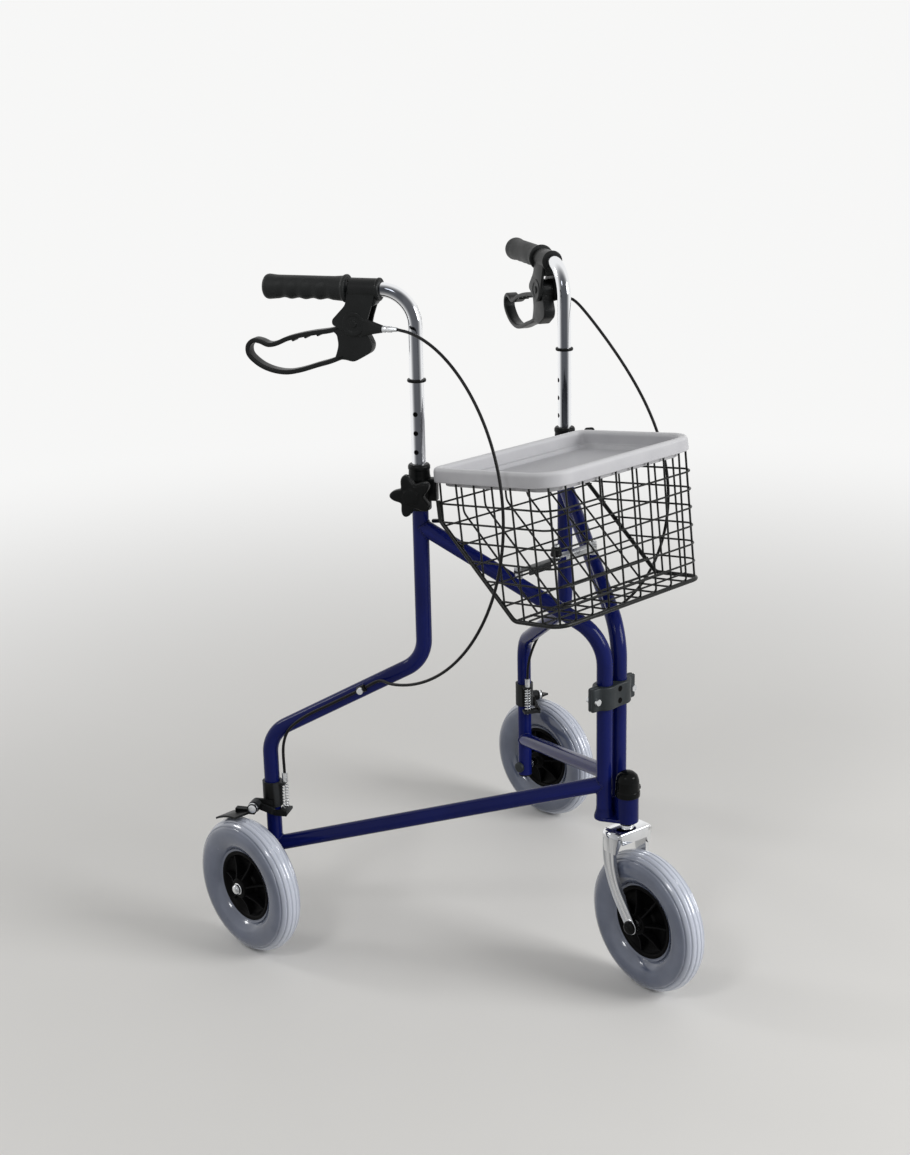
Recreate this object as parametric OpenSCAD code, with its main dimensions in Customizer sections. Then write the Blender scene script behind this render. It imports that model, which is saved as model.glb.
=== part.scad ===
// Three wheel rollator: two hinged side frames, a swivel front wheel, telescoping
// brake handles, a wire basket and a tray. Millimetres, +Z up, travel towards -Y.
// Origin on the floor under the middle of the overall box.

/* [Wheels] */
// tyre outside diameter
wheel_d = 200; // [190:1:206]
// tyre section width
tyre_w = 44; // [40:1:46]
// rim diameter under the tyre
rim_d = 102; // [96:1:106]
// axle diameter
axle_d = 10; // [8:0.5:11]
// ribs on each face of a rim
rib_count = 7; // [5:1:9]
// depth of the tread grooves
groove_r = 1.3; // [0.8:0.1:1.6]
// rear post axis to wheel middle, across
wheel_out = 50; // [48:0.5:54]

/* [Frame] */
// frame tube outside diameter
tube_d = 22; // [21:0.1:23]
// frame tube wall
tube_wall = 1.4; // [1.2:0.05:1.5]
// splay of each side frame from straight ahead
open_angle = 31; // [29:0.5:33]
// distance between the two hinge posts
post_pitch = 29; // [28:0.5:32]
// hinge post to upright, along the frame
upright_r = 250; // [245:1:256]
// hinge post to rear post, along the frame
rear_r = 483; // [474:1:492]
// height where the diagonal meets the upright
join_z = 639; // [634:1:642]
// height of the upper bend
upper_bend_z = 448; // [440:1:456]
// height of the lower bend
lower_bend_z = 319; // [314:1:326]
// height of the lower tube at the rear post
bar_rear_z = 146; // [140:1:152]
// height of the lower tube at the hinge post
bar_front_z = 285; // [282:1:292]
// height of the front bend
front_bend_z = 496; // [492:1:500]
// bend radius of the rear tube
rear_bend_r = 50; // [44:1:56]
// bend radius of the front tube
front_bend_r = 70; // [62:1:76]

/* [Head] */
// hinge posts to caster axis
head_reach = 29; // [28:0.5:32]
// caster housing outside diameter
housing_d = 31; // [29:0.5:32]
// height of the housing foot
housing_z = 234; // [232:0.5:237]
// thickness of the bottom plate
plate_t = 5; // [4:0.5:6]
// height of the hinge block underside
block_z = 393; // [388:1:398]
// height of the hinge block
block_h = 38; // [32:1:42]

/* [Caster] */
// caster axis to front axle
trail = 43; // [38:1:46]
// rest turn of the caster
caster_yaw = -7; // [-10:0.5:-4]
// caster stem diameter
stem_pin_d = 14; // [12:0.5:15]
// width of a fork leg
leg_w = 20; // [17:0.5:22]
// thickness of a fork leg
leg_t = 6; // [5:0.25:7]
// height of the crown top
crown_z = 226; // [224:0.5:228]
// crown depth, front to back
crown_l = 34; // [30:1:38]

/* [Handles] */
// height of the handle axis
handle_z = 953; // [940:1:965]
// toe-in of the handle against its frame
handle_toe = 4; // [2:0.5:6]
// handle bend radius
handle_bend_r = 46; // [42:1:46]
// stem axis to handle end
handle_l = 205; // [198:1:212]
// stem tube wall
stem_wall = 1.5; // [1.2:0.1:1.8]
// pitch of the height holes, as a part of the height from knob to handle
hole_part = 0.097; // [0.095:0.001:0.099]
// height hole diameter
hole_d = 6.5; // [5.5:0.1:7]
// lower end of the stem
stem_low_z = 606; // [600:1:612]
// place of the stop ring, as a part of the height from clamp to bend
ring_part = 0.6; // [0.57:0.01:0.63]
// grip length
grip_l = 118; // [112:1:118]
// grip diameter
grip_d = 31; // [29:0.5:33]

/* [Clamps] */
// height of the clamp underside
clamp_z = 662; // [660:1:664]
// height of the clamp
clamp_h = 62; // [60:1:64]
// clamp outside diameter
clamp_d = 31; // [29:0.5:32]
// height of the knob axis
knob_z = 690; // [688:1:692]
// knob radius over the lobes
knob_r = 29; // [26:0.5:31]
// knob thickness
knob_t = 15; // [13:0.5:17]

/* [Brakes] */
// lever width across
lever_w = 17; // [15:0.5:17.5]
// lever strap thickness
lever_t = 6; // [5:0.25:6.5]
// cable diameter
cable_d = 5; // [4.5:0.1:5.2]
// free loop of the right cable, forwards
right_bow = 215; // [205:1:222]
// free loop of the left cable, forwards
left_bow = 200; // [190:1:206]
// shoe clearance over the tyre
shoe_gap = 4.2; // [3.8:0.1:5]
// shoe thickness
shoe_t = 3; // [2.5:0.1:3.5]
// spring wire diameter
spring_wire = 1.3; // [1.1:0.05:1.5]
// spring mean diameter
spring_d = 9; // [8.5:0.1:9.5]

/* [Brace] */
// hinge post to brace bolt, along the frame
brace_r = 117; // [114:0.5:120]
// link width
link_w = 12; // [10.5:0.5:13]
// link thickness
link_t = 2.5; // [2:0.1:2.6]

/* [Basket] */
// basket side past the axis of the upright, at the top
basket_spare = 0.75; // [-1:0.25:1.5]
// taper of each basket side
basket_taper = 9; // [6:0.5:12]
// axis of the upright to the basket's back edge
back_gap = 33; // [32:0.5:35]
// floor length
floor_l = 81; // [78:0.5:84]
// basket depth
basket_h = 174; // [171:0.5:177]
// height of the sloped back
slope_h = 126; // [122:0.5:130]
// lean of the front wall
front_lean = 11; // [8:0.5:13]
// nose-up tilt of basket and tray
basket_tilt = 7; // [5.5:0.5:8]
// mesh wire diameter
wire_d = 3; // [2.4:0.1:3.2]
// edge rod diameter
rod_d = 6; // [5:0.1:6.4]
// tray past the basket at each side
tray_over = 6; // [4:0.5:7]
// tray past the basket at the front
tray_over_front = 4; // [3:0.5:6]
// tray past the basket at the back
tray_over_back = 8; // [5:0.5:8.5]
// tray band height
tray_h = 21; // [19:0.5:23]
// tray corner radius
tray_r = 30; // [26:1:34]
// depth of the tray hollow
tray_deep = 15; // [12:0.5:16]

/* [Hidden] */
$fn = 48;
fit_gap = 0.05;
seat_gap = 0.1;
body_gap = 0.4;
join_gap = 0.1;
wheel_r = wheel_d / 2;
tube_r = tube_d / 2;
tube_in = tube_r - tube_wall;
more = 1;
stem_r = tube_in - seat_gap;
axle_r = axle_d / 2;
post_x = post_pitch / 2;
tread_r = tyre_w / 2;
rear_run = rear_r * cos(open_angle);
front_run = head_reach + trail * cos(caster_yaw);
front_half = (wheel_r - tread_r) * cos(caster_yaw) + tread_r;
post_y = (front_run + front_half - rear_run - wheel_r) / 2;
head_y = post_y - head_reach;
slope_angle = atan2(upper_bend_z - lower_bend_z, rear_r - upright_r);
rear_turn = 90 - slope_angle;
rear_tan = rear_bend_r * tan(rear_turn / 2);
diag_angle = atan2(join_z - front_bend_z, upright_r);
front_turn = 90 - diag_angle;
front_tan = front_bend_r * tan(front_turn / 2);
plate_top = housing_z + plate_t;
post_low = plate_top + body_gap;
rear_low = 0.85 * wheel_r;
clamp_top = clamp_z + clamp_h;
collar_h = 7;
collar_over = 1;
upright_top = clamp_top - collar_h - collar_over;
hole_pitch = hole_part * (handle_z - knob_z);
ring_z = clamp_top + ring_part * (handle_z - handle_bend_r - clamp_top);
// highest point of a diagonal tube over its axis, along a line across the frame
dir_x = sin(open_angle) * cos(diag_angle);
dir_k = dir_x * sin(diag_angle) / (1 - dir_x * dir_x);
diag_rise = tube_r / sqrt(1 + dir_k * dir_k - pow(dir_x * dir_k + sin(diag_angle), 2));
// height of a crossing rod's axis over the axis of the diagonal tube that it rests on
function rest_lift(d) = diag_rise * (tube_r + d / 2 + body_gap) / tube_r;
lever_a = 81;
lever_drop = 44;
lever_z = handle_z - lever_drop;
lever_pin_d = 6;
bracket_a = 47;
bracket_l = 40;
cheek_n = 13;
nose_a = 40;
adjust_n = 14.5;
adjust_drop = 49;
adjust_z = handle_z - adjust_drop;
adjust_hex_h = 5;
adjust_barrel_h = 9;
adjust_tip_h = 6;
adjust_end = nose_a - seat_gap - adjust_hex_h - adjust_barrel_h - adjust_tip_h;
grip_end_t = 4;
grip_a = handle_l + grip_end_t - grip_l;
hub_half = tread_r;
bearing_wall = 6;
bearing_r = axle_r + bearing_wall;
bearing_w = 7;
pivot_back = 20;
pivot_lift = 14;
pivot_r = rear_r + pivot_back;
pivot_z = wheel_d + pivot_lift;
pivot_d = 8;
tab_low_lift = 3;
tab_high_lift = 46;
tab_low = wheel_d + tab_low_lift;
tab_high = wheel_d + tab_high_lift;
tab_t = 4;
foot_half = 7;
wire_hole = 3;
ferrule_h = 14;
ear_gap = 1;
ear_t = 4;
ear_n = tube_r + ear_gap;
arm_n = ear_n + ear_t + body_gap;
arm_t = 4;
hub_w = 11;
cable_in = 8.5;
cable_r = rear_r - tube_r - cable_in;
upright_x = post_x + upright_r * sin(open_angle);
upright_y = post_y + upright_r * cos(open_angle);
rest_part = 0.2;
basket_r = rest_part * upright_r;
basket_y = post_y + basket_r * cos(open_angle);
basket_z = front_bend_z + basket_r * tan(diag_angle) + rest_lift(rod_d);
basket_top = upright_x + basket_spare;
basket_low = basket_top - basket_taper;
back_y = upright_y - back_gap;
slope_l = (back_y - basket_y - basket_h * sin(basket_tilt)) / cos(basket_tilt);
// links clear the diagonal tubes at their rear edge
link_edge = link_w / 2 / cos(open_angle);
link_z = front_bend_z + (brace_r + link_edge) * tan(diag_angle) + diag_rise;
link_bolt_d = 6;
slope_run = rear_r - upright_r;
clip_part = 0.266;
clip_r = upright_r + clip_part * slope_run;
clip_z = upper_bend_z - (clip_r - upright_r) * tan(slope_angle);

blue = [0.12, 0.14, 0.45];
black = [0.06, 0.06, 0.065];
dark = [0.2, 0.2, 0.21];
chrome = [0.8, 0.81, 0.83];
zinc = [0.7, 0.71, 0.73];
rubber = [0.55, 0.57, 0.62];
pale = [0.78, 0.78, 0.79];

// points of the left side; the right side is its mirror image
function side_pt(n, r, z) = [
  post_x + r * sin(open_angle) + n * cos(open_angle), post_y + r * cos(open_angle) - n * sin(open_angle), z];
function hand_pt(n, a, z) = side_pt(
  n * cos(handle_toe) - a * sin(handle_toe), upright_r + a * cos(handle_toe) + n * sin(handle_toe), z);
function basket_pt(x, f, h) = [
  x, basket_y - f * cos(basket_tilt) + h * sin(basket_tilt),
  basket_z + f * sin(basket_tilt) + h * cos(basket_tilt)];
function half_w(h) = basket_low + (basket_top - basket_low) * h / basket_h;
function front_f(h) = floor_l + front_lean * h / basket_h;
function back_f(h) = h < slope_h ? -slope_l * h / slope_h : -slope_l;
function unit(v) = v / norm(v);

module in_side(s) {
  mirror([s < 0 ? 1 : 0, 0, 0])
    translate([post_x, post_y, 0])
      rotate([0, 0, -open_angle])
        children();
}

module in_world(s) {
  mirror([s < 0 ? 1 : 0, 0, 0]) children();
}

module in_handle(s) {
  in_side(s) translate([0, upright_r, 0]) rotate([0, 0, handle_toe]) children();
}

module in_wheel(s) {
  in_world(s)
    translate([post_x + rear_r * sin(open_angle), post_y + rear_run, wheel_r])
      children();
}

module in_caster() {
  translate([0, head_y, 0]) rotate([0, 0, caster_yaw]) children();
}

module in_basket() {
  translate([0, basket_y, basket_z]) rotate([-basket_tilt, 0, 0]) children();
}

// straight round bar between two points
module bar(p, q, d) {
  v = q - p;
  translate(p)
    rotate([0, acos(v[2] / norm(v)), atan2(v[1], v[0])])
      cylinder(h = norm(v), d = d);
}

// bend of a tube in the frame plane
module bend(r, z, radius, a0, a1, d) {
  translate([0, r, z])
    rotate([90, 0, 90])
      rotate([0, 0, a0])
        rotate_extrude(angle = a1 - a0)
          translate([radius, 0])
            circle(d = d);
}

// round bar along X
module across(n0, n1, r, z, d) {
  translate([n0, r, z]) rotate([0, 90, 0]) cylinder(h = n1 - n0, d = d);
}

// flat bar with round ends, lying in the frame plane, n0 to n1 thick
module flat_bar(p, q, w, n0, n1) {
  v = q - p;
  across(n0, n1, p[0], p[1], w);
  across(n0, n1, q[0], q[1], w);
  translate([n0, p[0], p[1]])
    rotate([atan2(v[1], v[0]), 0, 0])
      translate([0, 0, -w / 2])
        cube([n1 - n0, norm(v), w]);
}

// hollow straight tube between two points
module pipe(p, q) {
  v = q - p;
  difference() {
    bar(p, q, tube_d);
    bar(p - more * unit(v), q + more * unit(v), 2 * tube_in);
  }
}

// hollow bend, and a thin sleeve that joins a bend to a straight
module pipe_bend(r, z, radius, a0, a1) {
  short = join_gap * 180 / (PI * radius);
  difference() {
    bend(r, z, radius, a0 + short, a1 - short, tube_d);
    bend(r, z, radius, a0 - more, a1 + more, 2 * tube_in);
  }
}

module pipe_joint(r, z, a) {
  half = 1;
  skin = 0.08;
  translate([0, r, z])
    rotate([a - 90, 0, 0])
      difference() {
        translate([0, 0, -half]) cylinder(h = 2 * half, r = tube_r + skin);
        translate([0, 0, -2 * half]) cylinder(h = 4 * half, r = tube_in - skin);
      }
}

module rear_pipe() {
  slope_y = rear_tan * cos(slope_angle);
  slope_z = rear_tan * sin(slope_angle);
  gap_y = join_gap * cos(slope_angle);
  gap_z = join_gap * sin(slope_angle);
  high = upper_bend_z + rear_tan;
  low = lower_bend_z - rear_tan;
  pipe([0, upright_r, high + join_gap], [0, upright_r, upright_top]);
  pipe_joint(upright_r, high, 90);
  pipe_bend(upright_r + rear_bend_r, high, rear_bend_r, 180, 180 + rear_turn);
  pipe_joint(upright_r + slope_y, upper_bend_z - slope_z, -slope_angle);
  pipe(
    [0, upright_r + slope_y + gap_y, upper_bend_z - slope_z - gap_z],
    [0, rear_r - slope_y - gap_y, lower_bend_z + slope_z + gap_z]);
  pipe_joint(rear_r - slope_y, lower_bend_z + slope_z, -slope_angle);
  pipe_bend(rear_r - rear_bend_r, low, rear_bend_r, 0, rear_turn);
  pipe_joint(rear_r, low, 90);
  pipe([0, rear_r, rear_low], [0, rear_r, low - join_gap]);
}

module rear_tube() {
  hole_n = tube_d;
  difference() {
    rear_pipe();
    across(0, hole_n, upright_r, knob_z, hole_d + 0.2);
    translate([0, rear_r, wheel_r])
      rotate([0, 0, open_angle])
        across(-hole_n, hole_n, 0, 0, axle_d + 0.2);
  }
}

module front_pipe() {
  rise_y = front_tan * cos(diag_angle);
  rise_z = front_tan * sin(diag_angle);
  low = front_bend_z - front_tan;
  pipe([0, 0, post_low], [0, 0, low - join_gap]);
  pipe_joint(0, low, 90);
  pipe_bend(front_bend_r, low, front_bend_r, 180 - front_turn, 180);
  pipe_joint(rise_y, front_bend_z + rise_z, diag_angle);
  pipe(
    [0, rise_y + join_gap * cos(diag_angle), front_bend_z + rise_z + join_gap * sin(diag_angle)],
    [0, upright_r, join_z]);
}

module front_tube() {
  cope = tube_d + 2 * seat_gap;
  cope_h = 4 * tube_d;
  difference() {
    front_pipe();
    translate([0, upright_r, join_z - cope_h / 2]) cylinder(h = cope_h, d = cope);
  }
}

module lower_tube() {
  cope = tube_d + 2 * seat_gap;
  cope_h = 4 * tube_d;
  difference() {
    bar([0, 0, bar_front_z], [0, rear_r, bar_rear_z], tube_d);
    bar([0, 0, bar_front_z], [0, rear_r, bar_rear_z], 2 * tube_in);
    translate([0, 0, bar_front_z - cope_h / 2]) cylinder(h = cope_h, d = cope);
    translate([0, rear_r, bar_rear_z - cope_h / 2]) cylinder(h = cope_h, d = cope);
  }
}

module clamp() {
  boss_n = 29;
  boss_d = 23;
  lug_w = 14;
  lug_l = 9;
  lug_in = 4;
  lug_h = 30;
  lip = 3;
  taper_h = 8;
  body_h = clamp_h - taper_h - collar_h;
  difference() {
    union() {
      translate([0, upright_r, clamp_z]) cylinder(h = body_h, d = clamp_d);
      translate([0, upright_r, clamp_z + body_h]) cylinder(h = taper_h, d1 = clamp_d, d2 = clamp_d - lip);
      translate([0, upright_r, clamp_top - collar_h]) cylinder(h = collar_h, d = clamp_d - lip);
      across(0, boss_n, upright_r, knob_z, boss_d);
      translate([-lug_w / 2, upright_r - clamp_d / 2 - lug_l + lug_in, knob_z - lug_h / 2])
        cube([lug_w, lug_l, lug_h]);
    }
    translate([0, upright_r, clamp_z - more])
      cylinder(h = upright_top + seat_gap - clamp_z + more, r = tube_r + seat_gap);
    translate([0, upright_r, clamp_z]) cylinder(h = clamp_h + more, r = stem_r + seat_gap);
    across(0, boss_n + more, upright_r, knob_z, hole_d + 2 * fit_gap);
  }
}

module knob() {
  face_n = 30;
  star_n = 32;
  star_end = star_n + knob_t;
  collar_end = 33;
  cap_t = 2;
  stud_d = hole_d - 2 * fit_gap;
  lobe_d = 17;
  core_d = 40;
  lobe_at = knob_r - lobe_d / 2;
  lobes = 5;
  lobe_turn = 360 / lobes;
  lead = lobe_turn / 4;
  translate([0, upright_r, knob_z]) {
    across(stem_r + body_gap, face_n + more, 0, 0, stud_d);
    across(face_n, collar_end, 0, 0, core_d / 2);
    difference() {
      union() {
        across(star_n, star_end, 0, 0, core_d);
        for (i = [0:lobes - 1])
          rotate([lobe_turn * i + lead, 0, 0]) across(star_n, star_end, lobe_at, 0, lobe_d);
      }
      for (i = [0:lobes - 1])
        rotate([lobe_turn * i - lead, 0, 0]) across(face_n, star_end + cap_t, knob_r, 0, core_d / 2);
    }
    across(star_end, star_end + cap_t, 0, 0, core_d / 2);
  }
}

module stem_path(d) {
  bend_z = handle_z - handle_bend_r;
  translate([0, 0, stem_low_z]) cylinder(h = bend_z - stem_low_z, d = d);
  bend(handle_bend_r, bend_z, handle_bend_r, 90, 180, d);
  translate([0, handle_bend_r, handle_z]) rotate([-90, 0, 0]) cylinder(h = handle_l - handle_bend_r, d = d);
}

// stem and stop ring; the ring is a separate solid
module stem() {
  ring_out = 3;
  ring_r = stem_r + ring_out;
  ring_h = 4;
  first_hole = -1;
  last_hole = 4;
  difference() {
    stem_path(2 * stem_r);
    stem_path(2 * (stem_r - stem_wall));
    for (k = [first_hole:last_hole])
      across(-tube_d, tube_d, 0, knob_z + k * hole_pitch, hole_d);
  }
  translate([0, 0, ring_z])
    difference() {
      cylinder(h = ring_h, r = ring_r);
      translate([0, 0, -more]) cylinder(h = ring_h + 2 * more, r = stem_r + fit_gap);
    }
}

module grip() {
  grip_r = grip_d / 2;
  flange_out = 3;
  flange_r = grip_r + flange_out;
  flange_t = 5;
  flange_round = 1;
  flare = 1.2;
  waves = 4;
  neck_l = 14;
  end_l = 18;
  end_round = 5;
  end_in = 3;
  wave_l = (grip_l - flange_t - neck_l - end_l) / waves;
  dip = 1;
  translate([0, grip_a, handle_z])
    rotate([-90, 0, 0])
      difference() {
        union() {
          cylinder(h = flange_t, r1 = flange_r, r2 = flange_r - flange_round);
          translate([0, 0, flange_t]) cylinder(h = neck_l, r1 = flange_r - 2 * flange_round, r2 = grip_r);
          for (i = [0:waves - 1])
            translate([0, 0, flange_t + neck_l + i * wave_l]) {
              cylinder(h = wave_l / 2, r1 = grip_r, r2 = grip_r - dip);
              translate([0, 0, wave_l / 2]) cylinder(h = wave_l / 2, r1 = grip_r - dip, r2 = grip_r);
            }
          translate([0, 0, grip_l - end_l]) cylinder(h = end_l - end_round, r1 = grip_r, r2 = grip_r + flare);
          translate([0, 0, grip_l - end_round])
            cylinder(h = end_round, r1 = grip_r + flare, r2 = grip_r - end_in);
        }
        translate([0, 0, -more])
          cylinder(h = grip_l - grip_end_t + more + seat_gap, r = stem_r + seat_gap);
      }
}

module lever_bracket() {
  saddle_t = 4.5;
  saddle_r = stem_r + saddle_t;
  boss_r = 17;
  slot_n = lever_w / 2 + body_gap;
  slot_over = 2;
  slot_reach = 40;
  neck_a = 54;
  neck_l = grip_a - seat_gap - neck_a;
  neck_drop = 10;
  neck_z = lever_z - neck_drop;
  nose_l = 26;
  nose_d = 11;
  nose_tip_d = 9;
  difference() {
    union() {
      translate([0, bracket_a, handle_z]) rotate([-90, 0, 0]) cylinder(h = bracket_l, r = saddle_r);
      translate([-cheek_n, neck_a, neck_z]) cube([2 * cheek_n, neck_l, handle_z - neck_z]);
      across(-cheek_n, cheek_n, lever_a, lever_z, 2 * boss_r);
      translate([adjust_n, nose_a, adjust_z])
        rotate([-90, 0, 0])
          cylinder(h = nose_l, d1 = nose_tip_d, d2 = nose_d);
    }
    translate([0, bracket_a - more, handle_z])
      rotate([-90, 0, 0])
        cylinder(h = grip_a + more - bracket_a, r = stem_r + seat_gap);
    translate([-slot_n, lever_a - slot_reach, lever_z - slot_reach])
      cube([2 * slot_n, 2 * slot_reach, slot_reach + boss_r + slot_over]);
  }
  across(-cheek_n - more, cheek_n + more, lever_a, lever_z, lever_pin_d);
}

module adjuster() {
  hex_d = 9;
  barrel_d = 7.5;
  tip_d = 5.6;
  translate([adjust_n, nose_a - seat_gap, adjust_z])
    rotate([90, 0, 0]) {
      cylinder(h = adjust_hex_h, d = hex_d, $fn = 6);
      translate([0, 0, adjust_hex_h]) cylinder(h = adjust_barrel_h, d = barrel_d);
      translate([0, 0, adjust_hex_h + adjust_barrel_h]) cylinder(h = adjust_tip_h, d1 = barrel_d, d2 = tip_d);
    }
}

// middle line of the finger loop, from the lever body and back, in handle length and height under the axis
loop_mid = [
  [100, -52], [118, -56], [140, -59], [160, -63], [180, -68], [195, -75], [207, -77], [218, -73], [228, -72],
  [236, -79], [236, -90], [228, -99], [215, -107], [198, -112], [180, -113], [160, -109], [138, -102],
  [118, -96], [100, -88]
];
loop_n = len(loop_mid);
function loop_dir(i) = unit(loop_mid[min(i + 1, loop_n - 1)] - loop_mid[max(i - 1, 0)]);
function loop_off(i, w) = loop_mid[i] + w * [-loop_dir(i)[1], loop_dir(i)[0]];
loop_ring = concat(
  [for (i = [0:loop_n - 1]) loop_off(i, lever_t / 2)],
  [for (i = [loop_n - 1:-1:0]) loop_off(i, -lever_t / 2)]);
lever_body = [
  [70, -40], [66, -54], [57, -72], [60, -82], [84, -95],
  [97, -92], [111, -92], [111, -52], [100, -46], [92, -40]
];

// lever plates stand in the handle plane, spread across it
module in_plane(w) {
  translate([-w / 2, 0, handle_z]) rotate([90, 0, 90]) linear_extrude(w) children();
}

module lever() {
  hub_r = 15;
  difference() {
    union() {
      across(-lever_w / 2, lever_w / 2, lever_a, lever_z, 2 * hub_r);
      in_plane(lever_w) polygon(lever_body);
      in_plane(lever_w) polygon(loop_ring);
    }
    across(-lever_w, lever_w, lever_a, lever_z, lever_pin_d + 2 * fit_gap);
  }
}

// tube along a row of points
module sweep(pts, d, sides) {
  last = len(pts) - 1;
  dirs = [for (i = [0:last]) unit(pts[min(i + 1, last)] - pts[max(i - 1, 0)])];
  ups = [for (t = dirs) unit(cross(t, [1, 0, 0]))];
  rings = [
    for (i = [0:last])
      for (k = [0:sides - 1])
        pts[i] + d / 2 * (cos(360 * k / sides) * ups[i] + sin(360 * k / sides) * cross(dirs[i], ups[i]))
  ];
  walls = [
    for (i = [0:last - 1])
      for (k = [0:sides - 1])
        [i * sides + k, (i + 1) * sides + k, (i + 1) * sides + (k + 1) % sides, i * sides + (k + 1) % sides]
  ];
  caps = [[for (k = [0:sides - 1]) k], [for (k = [sides - 1:-1:0]) last * sides + k]];
  polyhedron(points = rings, faces = concat(walls, caps), convexity = 6);
}

clip_off = 0.6;
clip_lift = 3;
clip_n = tube_r + cable_d / 2 + clip_off;
// the cable leaves the adjuster at an angle, so its end stands off by its own corner
cable_a = adjust_end - cable_d / 2 * sin(open_angle - handle_toe) - 2 * seat_gap;
cable_top = hand_pt(adjust_n, cable_a, adjust_z);
slope_fall = tan(slope_angle);
function clip_pt(d) = [clip_n, clip_r + d, clip_z + clip_lift - d * slope_fall];
function side_of(p) = side_pt(p[0], p[1], p[2]);
cable_clip = side_of(clip_pt(0));
loop_steps = 28;
function loop_pt(t, bow, skew) =
  let (f = (1 + cos(180 * t)) / 2)
  let (p = f * cable_top + (1 - f) * cable_clip)
  p - [0, bow * sin(180 * t) * (1 - skew * pow(f, 4)), 0];
// run along the slope tube, in parts of its length past the clip
run_parts = [0.0515, 0.1717, 0.3219, 0.4506];
// bend into the brake: out from the tube, along the frame, and height past the lower bend
turn_in = [
  [clip_n, -20, 20], [clip_n - 3, -8, 2], [clip_n - 8, -3, -14], [3, 0, -30], [0.5, 0, -44]
];
cable_run = concat(
  [for (k = run_parts) side_of(clip_pt(k * slope_run))],
  [for (p = turn_in) side_pt(p[0], cable_r + p[1], lower_bend_z + p[2])],
  [side_pt(0, cable_r, tab_high + ferrule_h)]);
cable_sides = 8;

module cable(bow, skew) {
  sweep(concat([for (i = [0:loop_steps]) loop_pt(i / loop_steps, bow, skew)], cable_run),
    cable_d, cable_sides);
}

clip_mid = 26;

// clip that holds the cable on the slope tube
module clip() {
  wall = 3;
  half = 6;
  reach = 60;
  difference() {
    bar(clip_pt(clip_mid - half), clip_pt(clip_mid + half), cable_d + 2 * wall);
    bar(clip_pt(clip_mid - reach), clip_pt(clip_mid + reach), cable_d + 2 * seat_gap);
    bar([0, upright_r, upper_bend_z], [0, rear_r, lower_bend_z], tube_d + 2 * seat_gap);
  }
}

module brake_carrier() {
  sleeve_t = 3.2;
  sleeve_lift = 6;
  ear_w = 16;
  ear_in = 6;
  bolt_d = 15;
  bolt_t = 5.6;
  bolt_gap = 1.4;
  bolt_n = arm_n + hub_w + bolt_gap;
  difference() {
    union() {
      translate([0, rear_r, tab_low + sleeve_lift])
        cylinder(h = tab_high - tab_low - sleeve_lift, r = tube_r + sleeve_t);
      flat_bar([cable_r, tab_high - tab_t / 2], [rear_r, tab_high - tab_t / 2], tab_t, -foot_half, foot_half);
      translate([ear_n, rear_r - ear_in, pivot_z - ear_w / 2]) cube([ear_t, pivot_back + ear_in, ear_w]);
      across(ear_n, ear_n + ear_t, pivot_r, pivot_z, ear_w);
    }
    translate([0, rear_r, tab_low]) cylinder(h = tab_high, r = tube_r + seat_gap);
    translate([0, cable_r, tab_low]) cylinder(h = tab_high, d = wire_hole);
  }
  across(ear_n + ear_t, bolt_n + bolt_t / 2, pivot_r, pivot_z, pivot_d);
  across(bolt_n, bolt_n + bolt_t, pivot_r, pivot_z, bolt_d);
}

module brake_arm() {
  hub_d = 17;
  arm_w = 9;
  knee_in = 5;
  knee_lift = 3;
  plate_in = 0.6;
  plate_low = 3;
  plate_h = 8.5;
  strap_w = 9;
  strap_l = 29;
  strap_lift = 1.5;
  strap_h = 7.5;
  foot_z = tab_low - arm_t / 2;
  difference() {
    union() {
      across(arm_n, arm_n + hub_w, pivot_r, pivot_z, hub_d);
      flat_bar([pivot_r, pivot_z], [rear_r - knee_in, tab_low + knee_lift], arm_w, arm_n, arm_n + arm_t);
      translate([arm_n + plate_in, cable_r - foot_half + plate_in, tab_low - plate_low])
        cube([arm_t - 2 * plate_in, rear_r - cable_r, plate_h]);
      translate([-foot_half, cable_r - foot_half, foot_z])
        cube([arm_n + arm_t / 2 + foot_half, 2 * foot_half, arm_t]);
      translate([arm_n + plate_in, pivot_r, wheel_d + strap_lift]) cube([strap_w, strap_l, strap_h]);
      shoe_pad();
    }
    across(0, arm_n + 2 * hub_w, pivot_r, pivot_z, pivot_d + 2 * fit_gap);
    translate([0, cable_r, foot_z - more]) cylinder(h = arm_t + 2 * more, d = wire_hole);
  }
}

// curved shoe over the tyre, between two angles behind the top of the wheel
module shoe_pad() {
  shoe_w = 30;
  shoe_r = wheel_r + shoe_gap;
  from = 4;
  to = 30;
  translate([0, rear_r, wheel_r])
    rotate([0, 0, open_angle])
      translate([wheel_out - shoe_w / 2, 0, 0])
        rotate([0, 90, 0])
          rotate([0, 0, 180 - from])
            rotate_extrude(angle = from - to)
              translate([shoe_r, 0])
                square([shoe_t, shoe_w]);
}

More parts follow.
